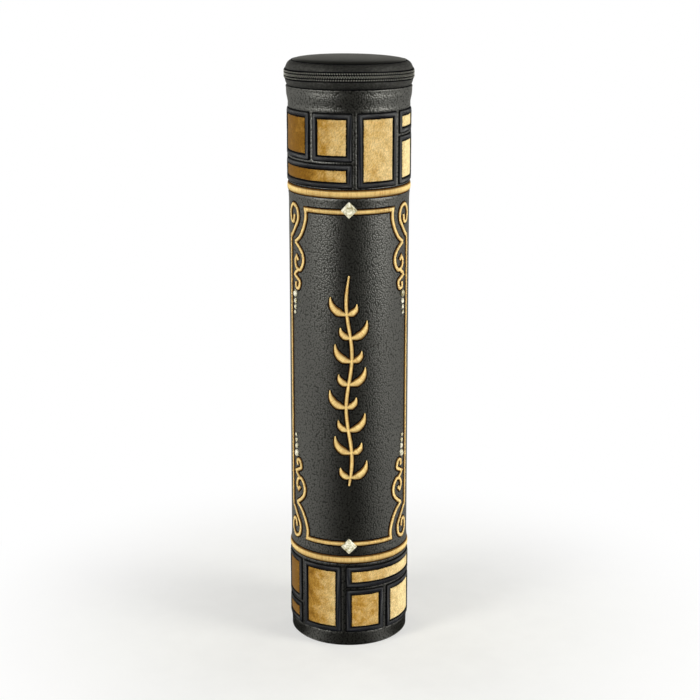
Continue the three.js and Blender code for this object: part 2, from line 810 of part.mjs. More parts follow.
// A four-sided stone with a bevelled rim, set over the frame's line
function stone(face, end) {
  const seat = stitch_radius + thread_under_stone + stitch_seat;
  const middle = frame_centre_height + end * (frame_height - line_width) / 2;
  const outline = new THREE.Shape();
  const [wide, tall] = [stone_half_width - stone_bevel, stone_half_height - stone_bevel];
  outline.moveTo(wide, 0);
  outline.lineTo(0, tall);
  outline.lineTo(-wide, 0);
  outline.lineTo(0, -tall);
  const geometry = new THREE.ExtrudeGeometry(outline, {
    depth: stone_thickness / 2,
    bevelThickness: stone_thickness / 2,
    bevelSize: stone_bevel,
    bevelSegments: 1,
  });
  return geometry
    .rotateX(Math.PI / 2)
    .translate(0, -seat - stone_thickness / 2, middle)
    .rotateZ(face / cover_radius);
}

for (const [side, face] of sides) {
  for (const [level, end] of [['top', 1], ['bottom', -1]]) {
    add(`${side}_${level}_scroll`, scrollFrame(face, end), gold_thread);
    add(`${side}_${level}_stone`, stone(face, end), pearl);
  }
  add(`${side}_left_line`, sideLine(face, -1), gold_thread);
  add(`${side}_right_line`, sideLine(face, 1), gold_thread);
}

// Leaf stem up the middle of the front: a swaying stem with leaves to either side and a bud
const leaf_shares = [0.04, 0.16, 0.27, 0.38, 0.49, 0.6, 0.71, 0.82];
const leaf_width_shares = [0.3, 1, 0.8, 0.1];

function stemPlace(share) {
  const height = frame_centre_height + stem_height * (share - 0.5);
  return [stem_sway * Math.sin(2 * Math.PI * stem_waves * share), height];
}

function leaf(root, reach, rise) {
  const path = leaf_width_shares.map((_, place) => {
    const share = place / (leaf_width_shares.length - 1);
    return [root[0] + reach * Math.sin(share * Math.PI / 2), root[1] + rise * share * share];
  });
  return stitchedLine(path, leaf_width_shares.map((share) => 2 * leaf_half_width * share));
}

function leafStem() {
  const stem = Array.from({ length: stem_steps + 1 }, (_, step) => stemPlace(step / stem_steps));
  const pieces = [stitchedLine(stem, scroll_line_width)];
  leaf_shares.forEach((share, place) => {
    const hand = place % 2 === 0 ? 1 : -1;
    pieces.push(leaf(stemPlace(share), hand * leaf_reach, leaf_rise));
    pieces.push(leaf(stemPlace(share), -hand * leaf_reach * leaf_far_share, leaf_rise * leaf_far_share));
  });
  return join(pieces);
}

add('leaf_stem', leafStem(), gold_thread);

export default part;
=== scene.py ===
import json
from math import cos, pi, radians, sin, tau

import bmesh
import bpy
import numpy as np
from bpy.props import FloatProperty, FloatVectorProperty, IntProperty, PointerProperty
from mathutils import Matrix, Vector

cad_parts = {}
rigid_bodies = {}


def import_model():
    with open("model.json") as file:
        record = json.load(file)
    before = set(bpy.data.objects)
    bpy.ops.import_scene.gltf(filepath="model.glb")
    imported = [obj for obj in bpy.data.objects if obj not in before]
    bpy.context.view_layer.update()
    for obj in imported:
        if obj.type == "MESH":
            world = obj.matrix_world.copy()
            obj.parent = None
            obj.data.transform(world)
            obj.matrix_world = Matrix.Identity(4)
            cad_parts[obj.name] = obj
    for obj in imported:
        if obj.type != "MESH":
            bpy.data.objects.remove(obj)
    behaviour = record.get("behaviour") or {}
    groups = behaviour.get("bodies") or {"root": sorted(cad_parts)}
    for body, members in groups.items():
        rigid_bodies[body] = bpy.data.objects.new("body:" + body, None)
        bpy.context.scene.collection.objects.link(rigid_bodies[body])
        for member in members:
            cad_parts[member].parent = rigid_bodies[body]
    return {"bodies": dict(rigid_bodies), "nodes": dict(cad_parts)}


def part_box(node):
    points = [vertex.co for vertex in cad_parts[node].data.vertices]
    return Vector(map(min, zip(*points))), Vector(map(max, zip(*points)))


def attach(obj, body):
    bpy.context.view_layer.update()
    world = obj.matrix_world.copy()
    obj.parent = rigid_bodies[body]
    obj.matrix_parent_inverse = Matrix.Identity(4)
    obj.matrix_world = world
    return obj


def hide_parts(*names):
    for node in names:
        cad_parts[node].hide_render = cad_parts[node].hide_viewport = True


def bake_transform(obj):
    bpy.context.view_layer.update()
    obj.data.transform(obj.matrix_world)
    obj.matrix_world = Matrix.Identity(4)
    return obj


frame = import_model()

bl_info = {
    "name": "Megillah case",
    "version": (1, 0, 0),
    "blender": (4, 5, 0),
    "location": "View3D > Sidebar > Megillah case",
    "description": "Dresses a round scroll case in leather, embroidery, suede and a coil zip",
    "category": "Add Mesh",
}

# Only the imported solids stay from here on, without the startup file's own objects
KEPT = {packed.name for packed in [*frame["nodes"].values(), *frame["bodies"].values()]}
for leftover in [found for found in bpy.data.objects if found.name not in KEPT]:
    bpy.data.objects.remove(leftover)
bpy.context.view_layer.update()

MM = 0.001


def linear(red, green, blue):
    """A colour as it is seen, from 0 to 255, turned to the linear values that shaders take."""
    shares = [channel / 255 for channel in (red, green, blue)]
    return tuple(s / 12.92 if s <= 0.04045 else ((s + 0.055) / 1.055) ** 2.4 for s in shares)


def level(node, end):
    """Height of a node's foot (0) or top (1), in millimetres."""
    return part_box(node)[end].z / MM


COVER = 38.2
LIP = level("leather_cover", 1)
ZIP_LINE = (level("lower_tooth_row", 1) + level("upper_tooth_row", 0)) / 2
FLARE = LIP - 13.0
HALF_GIRTH = pi * COVER
FRAME_LOW, FRAME_HIGH = level("front_bottom_scroll", 0), level("front_top_scroll", 1)
FRAME_MIDDLE = (FRAME_LOW + FRAME_HIGH) / 2
TAPE_END = 143.55
HINGE_HALF = 36.0
ROW_END = 122.04


# Sizes and colours that a user would change

def length(label, about, default, low, high):
    return FloatProperty(
        name=label, description=about, default=default * MM, min=low * MM, max=high * MM,
        unit="LENGTH", subtype="DISTANCE", precision=5,
    )


def tint(label, about, default):
    return FloatVectorProperty(
        name=label, description=about, default=linear(*default), min=0, max=1, size=3, subtype="COLOR",
    )


class CaseSizes(bpy.types.PropertyGroup):
    thread_radius: length("Thread radius", "Half the thickness of an embroidery thread", 0.26, 0.1, 0.5)
    thread_spacing: length("Thread spacing", "From one satin stitch to the next", 0.5, 0.3, 1.5)
    line_width: length("Frame line width", "Width of the frame's line across the face", 2.9, 1.5, 4)
    scroll_width: length("Scroll line width", "Width of the scrolls and the upright lines", 2.4, 1.2, 4)
    line_crest: length("Line crest", "How far the gold lines stand out of the leather", 0.72, 0.2, 1.2)
    band_crest: length("Band crest", "How far the gold bands stand out of the leather", 0.78, 0.3, 1.2)
    border_crest: length("Border crest", "How far a panel's black border stands out", 0.8, 0.2, 1)
    border_width: length("Border width", "Width of a panel's black border", 3.5, 2, 4.5)
    puff: length("Leather puff", "How far the leather swells between the panels", 0.34, 0, 0.6)
    coil_pitch: length("Coil pitch", "From one loop of the zip's coil to the next", 1.57, 1.2, 3)
    coil_wire: length("Coil wire radius", "Half the thickness of the coil's wire", 0.18, 0.15, 0.4)
    rim_sway: length("Rim sway", "How far the soft rims stray from a level ring", 1, 0, 1.2)
    pebble: length("Leather grain", "Width of one pebble of the leather's grain", 1.05, 0.4, 3)
    seed: IntProperty(name="Seed", description="Start of all random variation", default=7, min=0)


class CaseColours(bpy.types.PropertyGroup):
    leather: tint("Leather", "Pebbled leather of the sleeve and the lid", (20, 20, 18))
    lining: tint("Lining", "Flocked cloth inside the tube and the lid", (36, 35, 40))
    gold: tint("Gold thread", "Satin stitches of the frames, the bands and the stem", (238, 209, 142))
    gold_shade: tint("Gold thread, deep", "Deeper strands among the gold ones", (212, 170, 100))
    # Black is the thread of the panels' borders, and also the painted shade of the lines and sheets beside
    # them.
    black: tint("Black thread", "Borders of the panels and edges of the gold lines", (23, 27, 43))
    # The suede's two colours are the ends of painted light across the case: shaded on its left, lit on its
    # right.
    suede_deep: tint("Suede, against the nap", "Suede where its nap turns away", (124, 84, 12))
    suede_pale: tint("Suede, with the nap", "Suede where its nap catches the light", (240, 218, 164))
    tape: tint("Zip tape", "Woven tapes of the zip", (15, 15, 14))
    # The coil's pale grey is its painted highlight; between its turns it is shaded near black.
    coil: tint("Coil", "Nylon coil of the zip", (168, 168, 163))
    metal: tint("Dark metal", "Slider, pull and stops", (70, 70, 72))
    pearl: tint("Pearl", "Set stones and beads", (250, 246, 232))
    board: tint("Board", "Grey-brown board of the tube, the base and the lid", (150, 138, 112))
    wadding: tint("Wadding", "Pad under the lid's leather", (214, 208, 192))


def size(name):
    """One of the sizes, in millimetres."""
    return getattr(bpy.context.scene.case_sizes, name) / MM


def colour(name, share=1.0):
    """One of the colours for a shader's socket, dimmed or lifted by a share."""
    return (*[min(1.0, channel * share) for channel in getattr(bpy.context.scene.case_colours, name)], 1.0)


# Node trees

def node(tree, kind, inputs=None, **settings):
    """A new node with its settings; each input takes a value or another node's output."""
    made = tree.nodes.new(kind)
    made.location = (190 * (len(tree.nodes) % 9), -240 * (len(tree.nodes) // 9))
    for name, value in settings.items():
        setattr(made, name, value)
    for key, value in (inputs or {}).items():
        if isinstance(value, bpy.types.NodeSocket):
            tree.links.new(value, made.inputs[key])
        else:
            made.inputs[key].default_value = value
    return made


def maths(tree, operation, *values):
    """The result of one operation on numbers or outputs."""
    return node(tree, "ShaderNodeMath", dict(enumerate(values)), operation=operation).outputs[0]


def times(tree, first, second):
    return maths(tree, "MULTIPLY", first, second)


def plus(tree, first, second):
    return maths(tree, "ADD", first, second)


def less(tree, first, second):
    return maths(tree, "SUBTRACT", first, second)


def scaled(tree, value, share, start):
    """A value times a share, on top of a start."""
    return maths(tree, "MULTIPLY_ADD", value, share, start)


def vectors(tree, operation, *values):
    """The result of one operation on vectors; a scale goes into the node's fourth input."""
    keys = (0, 3) if operation == "SCALE" else range(3)
    return node(tree, "ShaderNodeVectorMath", dict(zip(keys, values)), operation=operation).outputs[0]


def split(tree, vector):
    """The three numbers of a vector."""
    return node(tree, "ShaderNodeSeparateXYZ", {0: vector}).outputs


def vector(tree, *values):
    """A vector of up to three numbers or outputs; those left out are 0."""
    return node(tree, "ShaderNodeCombineXYZ", dict(enumerate(values))).outputs[0]


def noise(tree, place, scale, detail=2.0, **inputs):
    """The outputs of smooth noise over some places."""
    inputs.update(Vector=place, Scale=scale, Detail=detail)
    return node(tree, "ShaderNodeTexNoise", inputs).outputs


def remap(tree, value, low, high, to_low=0.0, to_high=1.0):
    """A number moved smoothly from one range to another and held inside it."""
    keys = {"Value": value, "From Min": low, "From Max": high, "To Min": to_low, "To Max": to_high}
    return node(tree, "ShaderNodeMapRange", keys, interpolation_type="SMOOTHSTEP").outputs[0]


def flat_reach(tree, across, along):
    """How far from the axis a place is."""
    squares = [maths(tree, "POWER", side, 2.0) for side in (across, along)]
    return maths(tree, "SQRT", plus(tree, *squares))


def blended(tree, share, first, second, way="MIX"):
    """Two colours mixed by a share."""
    inputs = {0: share, 6: first, 7: second}
    return node(tree, "ShaderNodeMix", inputs, data_type="RGBA", blend_type=way).outputs[2]


def opaque(stops):
    """Stops of (share, colour from 0 to 255) as a ramp takes them."""
    return [(share, (*linear(*seen), 1)) for share, seen in stops]


def ramped(tree, share, stops, way="LINEAR"):
    """The colour that a share has between stops of (share, colour)."""
    ramp = node(tree, "ShaderNodeValToRGB", {0: share})
    ramp.color_ramp.interpolation = way
    held = ramp.color_ramp.elements
    for place, (start, tone) in enumerate(stops):
        stop = held[0] if place == 0 else held[-1] if place == len(stops) - 1 else held.new(start)
        stop.position, stop.color = start, tone
    return ramp.outputs[0]


FLOAT, VECTOR, GEOMETRY = "NodeSocketFloat", "NodeSocketVector", "NodeSocketGeometry"


def built_once(name, kind, inputs, outputs, output_kind=FLOAT):
    """Makes a node group when it is first asked for; an input has its default value or its kind."""
    def wrap(build):
        def found():
            tree = bpy.data.node_groups.get(name)
            if tree is not None:
                return tree
            tree = bpy.data.node_groups.new(name, kind)
            for label, value in inputs.items():
                number = "NodeSocketInt" if isinstance(value, int) else FLOAT
                socket = value if isinstance(value, str) else number
                made = tree.interface.new_socket(label, in_out="INPUT", socket_type=socket)
                if socket is not value:
                    made.default_value = value
            for label in outputs:
                tree.interface.new_socket(label, in_out="OUTPUT", socket_type=output_kind)
            given = tree.nodes.new("NodeGroupInput").outputs
            ends = tree.nodes.new("NodeGroupOutput").inputs
            for label, result in build(tree, given).items():
                tree.links.new(result, ends[label])
            return tree
        return found
    return wrap


@built_once("Pebble grain", "ShaderNodeTree", {"Vector": VECTOR, "Cell": 0.001, "Stretch": 1.6, "Warp": 0.5},
            ("Height", "Crease", "Patch"))
def pebble_group(tree, given):
    """Leather grain: rounded cells with creases between them, longer than they are wide."""
    per_cell = maths(tree, "DIVIDE", 1.0, given["Cell"])
    scales = vector(tree, per_cell, maths(tree, "DIVIDE", per_cell, given["Stretch"]))
    spread = vectors(tree, "MULTIPLY", given["Vector"], scales)
    shift = vectors(tree, "SUBTRACT", noise(tree, spread, 0.45)["Color"], (0.5, 0.5, 0.5))
    push = vectors(tree, "SCALE", shift, times(tree, given["Warp"], 2.4))
    cell = node(tree, "ShaderNodeTexVoronoi", {
        "Vector": vectors(tree, "ADD", spread, push), "Scale": 1.0, "Smoothness": 0.3, "Randomness": 0.92,
    }, feature="SMOOTH_F1", voronoi_dimensions="2D").outputs["Distance"]
    dome = remap(tree, cell, 0.05, 0.7, 1.0, 0.0)
    height = scaled(tree, noise(tree, spread, 3.0)[0], 0.2, dome)
    crease, patch = remap(tree, cell, 0.34, 0.76), noise(tree, spread, 0.11, 3.0)[0]
    return {"Height": height, "Crease": crease, "Patch": patch}


@built_once("Mottle", "ShaderNodeTree", {"Vector": VECTOR, "Patch": 0.005, "Grain": 0.0005, "Mix": 0.5},
            ("Value", "Fine"))
def mottle_group(tree, given):
    """Soft patches with fine grain on top, for cloth, suede and board."""
    wide, fine = (
        noise(tree, given["Vector"], maths(tree, "DIVIDE", 1.0, given[width]), detail, Roughness=rough)[0]
        for width, detail, rough in (("Patch", 3.0, 0.55), ("Grain", 2.0, 0.6))
    )
    total = node(tree, "ShaderNodeMix", {0: given["Mix"], 2: wide, 3: fine}, data_type="FLOAT").outputs[0]
    return {"Value": remap(tree, total, 0.28, 0.72), "Fine": fine}


@built_once("Weave", "ShaderNodeTree", {"Vector": VECTOR, "Thread": 0.0006}, ("Height", "Shade"))
def weave_group(tree, given):
    """Woven cloth: threads that pass over and under each other, on UV in metres."""
    turns = (maths(tree, "DIVIDE", along, given["Thread"]) for along in split(tree, given["Vector"])[:2])
    warp, weft = (times(tree, turn, pi) for turn in turns)
    lean = maths(tree, "SINE", plus(tree, warp, weft))
    cross = maths(tree, "SINE", less(tree, warp, times(tree, weft, 2.0)))
    height = scaled(tree, times(tree, lean, cross), 0.5, 0.5)
    shade = times(tree, height, noise(tree, given["Vector"], 900.0)[0])
    return {"Height": height, "Shade": shade}


def coordinates(tree, kind="Object"):
    return node(tree, "ShaderNodeTexCoord").outputs[kind]


def marked(tree, name):
    """A value that the mesh carries on its points."""
    return node(tree, "ShaderNodeAttribute", attribute_name=name).outputs["Fac"]


def group(tree, made, **inputs):
    """The outputs of a shader node group placed in a material with its own values."""
    return node(tree, "ShaderNodeGroup", inputs, node_tree=made).outputs


def mottled(tree, patch, grain, mix):
    """The mottle's outputs on the object's own coordinates."""
    return group(tree, mottle_group(), Vector=coordinates(tree), Patch=patch, Grain=grain, Mix=mix)


def bumped(tree, height, depth):
    return node(tree, "ShaderNodeBump", {"Height": height, "Distance": depth, "Strength": 1.0}).outputs[0]


def shaded(tree, base, roughness, height=None, depth=0.0001, **shader):
    """The Principled shader of a material, with a bump where a height is given."""
    inputs = {"Base Color": base, "Roughness": roughness}
    inputs.update({name.replace("_", " "): value for name, value in shader.items()})
    if height is not None:
        inputs["Normal"] = bumped(tree, height, depth)
    principled = node(tree, "ShaderNodeBsdfPrincipled", inputs)
    node(tree, "ShaderNodeOutputMaterial", {"Surface": principled.outputs[0]})


def leather_finish(tree, on_uv=False):
    """The sleeve's hide, with its grain by girth and height, and the hinge's, with its grain by UV."""
    place = coordinates(tree, "UV" if on_uv else "Object")
    if not on_uv:
        parts = split(tree, place)
        girth = times(tree, maths(tree, "ARCTAN2", parts[1], parts[0]), COVER * MM)
        place = vector(tree, girth, parts[2])
    grain = group(tree, pebble_group(), Vector=place, Cell=size("pebble") * MM, Stretch=1.3, Warp=0.2)
    worn = remap(tree, grain["Patch"], 0.35, 0.65)
    tone = blended(tree, worn, colour("leather", 0.86), colour("leather", 1.18))
    # Painted shade in the grain's creases, which darken towards a quarter of the leather's colour.
    base = blended(tree, times(tree, grain["Crease"], 0.7), tone, colour("leather", 0.25))
    gloss = scaled(tree, grain["Crease"], -0.4, scaled(tree, worn, 0.02, 0.56))
    shaded(tree, base, 0.5, grain["Height"], 0.00007, Specular_IOR_Level=0.12, Coat_Weight=gloss,
           Coat_Roughness=0.33, Coat_IOR=2.4, Coat_Normal=bumped(tree, grain["Height"], 0.000095))


def smooth_leather_finish(tree):
    """The lid's top: the same hide, drawn over wadding so that its grain is flatter."""
    grain = group(tree, pebble_group(), Vector=coordinates(tree), Cell=0.0013, Stretch=1.6, Warp=0.2)
    worn = remap(tree, grain["Patch"], 0.3, 0.7)
    tone = blended(tree, worn, colour("leather", 0.9), colour("leather", 1.25))
    # Painted shade in the grain's creases, lighter than on the sleeve.
    base = blended(tree, times(tree, grain["Crease"], 0.35), tone, colour("leather", 0.45))
    gloss = scaled(tree, grain["Crease"], -0.2, scaled(tree, worn, 0.1, 0.5))
    shaded(tree, base, 0.5, grain["Height"], 0.00002, Specular_IOR_Level=0.1,
           Coat_Weight=gloss, Coat_Roughness=0.26)


def thread_finish(tree, light, deep, edge, roughness, gloss, index):
    """Satin strands, each with its own shade; a painted shade turns them to the edge colour at both edges and
    partly over the half towards their second edge, the lower one on the bands, and takes their gloss there.
    """
    along = marked(tree, "thread_edge")
    patch = mottled(tree, 0.012, 0.0009, 0.6)
    total = plus(tree, times(tree, marked(tree, "thread_shade"), 0.55), times(tree, patch["Value"], 0.45))
    tone = blended(tree, remap(tree, total, 0.0, 0.62), deep, light)
    far = remap(tree, maths(tree, "ABSOLUTE", along), 0.45, 0.84)
    painted_edge_shade = maths(tree, "MAXIMUM", far, remap(tree, along, 0.0, 0.9, 0.0, 0.6))
    coat = scaled(tree, painted_edge_shade, -gloss, gloss)
    shaded(tree, blended(tree, painted_edge_shade, tone, edge), 0.6, patch["Fine"], 0.00003, Specular_IOR_Level=0.15,
           Coat_Weight=coat, Coat_Roughness=roughness, Coat_IOR=index)


# The third colour of each is the painted shade at the strands' edges.
def gold_finish(tree):
    thread_finish(tree, colour("gold"), colour("gold_shade"), (*linear(104, 70, 24), 1), 0.42, 0.75, 1.6)


def black_thread_finish(tree):
    thread_finish(tree, colour("black", 0.55), colour("black", 0.25), colour("black", 0.02), 0.3, 0.6, 1.8)


def suede_finish(tree):
    """Suede in soft patches with fine hairs, and painted light: a share each point carries makes it dark on
    the case's left and pale on its right.
    """
    place = coordinates(tree)
    parts = split(tree, place)
    lean = scaled(tree, parts[2], -0.5, parts[0])
    hairs = noise(tree, vector(tree, lean, parts[1], times(tree, parts[2], 0.5)), 1500.0)[0]
    patch = mottled(tree, 0.0055, 0.0011, 0.3)
    painted_light_and_patches = plus(tree, marked(tree, "nap"), scaled(tree, patch["Value"], 0.34, -0.17))
    between = ((0.3, (170, 127, 50)), (0.5, (200, 166, 104)), (0.7, (218, 190, 136)))
    nap = ramped(tree, painted_light_and_patches, [
        (0.08, colour("suede_deep")), *opaque(between), (0.95, colour("suede_pale")),
    ])
    specks = remap(tree, hairs, 0.34, 0.66, 0.74, 1.12)
    grey = node(tree, "ShaderNodeCombineColor", {0: specks, 1: specks, 2: specks}).outputs[0]
    painted_light_specked = blended(tree, 1.0, nap, grey, "MULTIPLY")
    # Painted shade: along its edge, in a ragged line, the suede turns near black, as in the valley by its
    # border.
    rough_edge = mottled(tree, 0.0009, 0.0005, 0.4)["Value"]
    inside = remap(tree, scaled(tree, rough_edge, 0.55, marked(tree, "rim")), 0.28, 0.62)
    base = blended(tree, inside, colour("black", 0.1), painted_light_specked)
    shaded(tree, base, 0.88, hairs, 0.00016, Sheen_Weight=0.12, Sheen_Roughness=0.5, Specular_IOR_Level=0.2)


def tape_finish(tree):
    """Woven cloth, rubbed shiny in small patches."""
    cloth = group(tree, weave_group(), Vector=coordinates(tree, "UV"), Thread=0.00055)
    patch = mottled(tree, 0.0024, 0.0007, 0.6)
    tone = blended(tree, patch["Value"], colour("tape", 0.3), colour("tape", 1.2))
    base = blended(tree, times(tree, cloth["Shade"], 0.5), tone, colour("tape", 1.5))
    height = scaled(tree, patch["Fine"], 1.4, cloth["Height"])
    gloss = remap(tree, mottled(tree, 0.0016, 0.0011, 0.5)["Value"], 0.3, 0.7, 0.02, 0.26)
    shaded(tree, base, 0.46, height, 0.00014, Specular_IOR_Level=0.3,
           Coat_Weight=gloss, Coat_Roughness=0.4, Coat_IOR=1.8)


def coil_finish(tree):
    """The nylon wire with a painted highlight: pale on its outer face where a loop turns, and painted shade
    near black between its turns and behind them.
    """
    patch = mottled(tree, 0.003, 0.0004, 0.4)
    reach = flat_reach(tree, *split(tree, coordinates(tree))[:2])
    front = remap(tree, reach, (ROW_MIDDLE + 0.12) * MM, (ROW_MIDDLE + 0.45) * MM)
    tone = blended(tree, patch["Value"], colour("coil", 0.85), colour("coil", 1.15))
    off_middle = maths(tree, "ABSOLUTE", plus(tree, marked(tree, "loop_share"), 0.05))
    shade = times(tree, front, remap(tree, off_middle, 0.2, 0.5))
    shaded(tree, blended(tree, shade, colour("coil", 0.012), tone), 0.34, patch["Fine"], 0.00002,
           Specular_IOR_Level=0.15)


def metal_finish(tree):
    patch = mottled(tree, 0.004, 0.0003, 0.5)
    base = blended(tree, patch["Value"], colour("metal", 0.75), colour("metal", 1.2))
    rough = remap(tree, patch["Value"], 0.0, 1.0, 0.28, 0.42)
    shaded(tree, base, rough, patch["Fine"], 0.00002, Metallic=0.9)


def pearl_finish(tree):
    """Nacre: cream layers with olive veins in them, under a clear coat."""
    flow = noise(tree, coordinates(tree), 230.0, 4.0, Distortion=1.6)[0]
    veins = ((0.34, (150, 144, 114)), (0.41, (166, 156, 120)), (0.46, (232, 228, 208)),
             (0.52, (180, 177, 150)), (0.57, (242, 238, 226)))
    tone = ramped(tree, flow, [*opaque(veins), (0.68, colour("pearl"))])
    shaded(tree, tone, 0.25, flow, 0.00006, Coat_Weight=0.5, Coat_Roughness=0.08)


def plain_finish(name, shares, patches, roughness, depth, **shader):
    """A finish of one colour between two shares of it, in soft patches with fine grain."""
    def build(tree):
        patch = mottled(tree, *patches)
        base = blended(tree, patch["Value"], *[colour(name, share) for share in shares])
        shaded(tree, base, roughness, patch["Fine"], depth, **shader)
    return build


CORE_PATCHES = (0.004, 0.0005, 0.6)
FINISHES = {
    "pebbled_leather": leather_finish,
    "hinge_leather": lambda tree: leather_finish(tree, on_uv=True),
    "lid_leather": smooth_leather_finish,
    "gold_satin": gold_finish,
    # The cores are darker than their strands: painted shade in the gaps between the strands. The black core
    # is also painted shade in the lines, sheets and cords laid beside the embroidery and the zip.
    "gold_satin_core": plain_finish("gold_shade", (0.525, 0.75), CORE_PATCHES, 0.6, 0.00005,
                                    Specular_IOR_Level=0.25),
    "black_satin": black_thread_finish,
    "black_satin_core": plain_finish("black", (0.084, 0.12), CORE_PATCHES, 0.8, 0.00005,
                                     Specular_IOR_Level=0.02),
    "brushed_suede": suede_finish,
    "woven_tape": tape_finish,
    "flocked_lining": plain_finish("lining", (0.6, 1.5), (0.012, 0.0006, 0.5), 0.95, 0.0002, Sheen_Weight=0.5,
                                   Sheen_Roughness=0.4, Specular_IOR_Level=0.15),
    "nylon_coil": coil_finish,
    "dark_satin_metal": metal_finish,
    "pearl_shell": pearl_finish,
    "grey_board": plain_finish("board", (0.75, 1.15), (0.006, 0.0006, 0.5), 0.9, 0.0001,
                               Specular_IOR_Level=0.2),
    "white_wadding": plain_finish("wadding", (0.85, 1.0), (0.003, 0.0007, 0.5), 0.95, 0.0003,
                                  Sheen_Weight=0.3),
}


def finish(name):
    """A material by name, made the first time it is asked for."""
    made = bpy.data.materials.get(name)
    if made is None:
        made = bpy.data.materials.new(name)
        made.use_nodes = True
        made.node_tree.nodes.clear()
        FINISHES[name](made.node_tree)
    return made


# Shapes, in millimetres until a mesh is made

def turned(radius, turn, height):
    """Points at some distance from the case's axis, turned from the front, at some height."""
    radius, turn, height = np.broadcast_arrays(radius, turn, height)
    return np.stack([radius * np.sin(turn), -radius * np.cos(turn), height], -1)


def wrapped(girth, height, out=0.0):
    """Points round the sleeve: along its girth and height, and out from its surface."""
    return turned(COVER + np.asarray(out, float), np.asarray(girth, float) / COVER, height)


def outward(points):
    """The direction away from the case's axis at each point."""
    flat = np.array(points, float)
    flat[..., 2] = 0
    return flat / np.linalg.norm(flat, axis=-1, keepdims=True)


# Rise of the soft rims at the front, right, back and left, by height over the zip's line
SWAY = [(-20.1, 0, 0, 0, 0), (-7.6, 0.2, -0.5, -0.5, -0.5), (-3.1, 0.7, -0.8, 0.4, -0.8),
        (3.0, 0.7, -0.8, 0.4, -0.8), (8.2, -0.5, -1.3, -1.6, -0.9), (10.1, -0.3, -1.6, -1.9, -0.9)]
SWAY_REACH = 35.0


def sway_at(height):
    """How far the rim at a height leans to the front and right, bends like a saddle and rises."""
    above, *rises = zip(*SWAY)
    rises = [np.interp(height - ZIP_LINE, above, rise) * size("rim_sway") for rise in rises]
    front, right, back, left = rises
    ends, sides = front + back, right + left
    return (front - back) / 2, (right - left) / 2, (ends - sides) / 4, (ends + sides) / 4


def swayed(points):
    """The soft rims stand a little higher at the front and sink towards the sides and the hinge."""
    forward, sideways, saddle, whole = sway_at(points[..., 2])
    reach = np.minimum(1, np.hypot(points[..., 0], points[..., 1]) / SWAY_REACH)
    azimuth = np.arctan2(points[..., 0], -points[..., 1])
    lean = forward * np.cos(azimuth) + sideways * np.sin(azimuth)
    points = points.copy()
    points[..., 2] += reach * lean + reach ** 2 * (saddle * np.cos(2 * azimuth) + whole)
    return points


def distances(path):
    """How far along a path each of its points lies."""
    return np.concatenate([[0], np.cumsum(np.linalg.norm(np.diff(path, axis=0), axis=1))])


def spaced(path, step):
    """A path's points, moved to even distances along it."""
    path = np.asarray(path, float)
    along = distances(path)
    places = np.linspace(0, along[-1], max(2, round(along[-1] / step) + 1))
    return np.stack([np.interp(places, along, path[:, axis]) for axis in range(path.shape[1])], 1)


def spline(points, step):
    """Evenly spaced points on a smooth curve through the given ones."""
    points = np.asarray(points, float)
    held = np.concatenate([points[:1], points, points[-1:]])
    share = np.linspace(0, 1, 24, endpoint=False)[:, None]
    run = []
    for first, start, end, last in zip(held, held[1:], held[2:], held[3:]):
        lead, trail = (end - first) / 2, (last - start) / 2
        cubic = (2 * start - 2 * end + lead + trail) * share ** 3
        run.append(cubic + (-3 * start + 3 * end - 2 * lead - trail) * share ** 2 + lead * share + start)
    return spaced(np.concatenate([*run, points[-1:]]), step)


def cleaned(mesh, source=None, merge=None, flatten=False):
    """Merges points, dissolves flat edges where asked, and turns a mesh's faces outwards."""
    work = bmesh.new()
    work.from_mesh(source or mesh)
    if merge:
        bmesh.ops.remove_doubles(work, verts=work.verts, dist=merge)
    if flatten:
        bmesh.ops.dissolve_limit(work, angle_limit=radians(2), verts=work.verts, edges=work.edges)
    bmesh.ops.recalc_face_normals(work, faces=work.faces)
    work.to_mesh(mesh)
    work.free()


def smoothed(mesh, sharp):
    """Smooth shading, with edges kept sharp from an angle in degrees."""
    mesh.polygons.foreach_set("use_smooth", [True] * len(mesh.polygons))
    mesh.set_sharp_from_angle(angle=radians(sharp))


LATHE_STEPS = 192


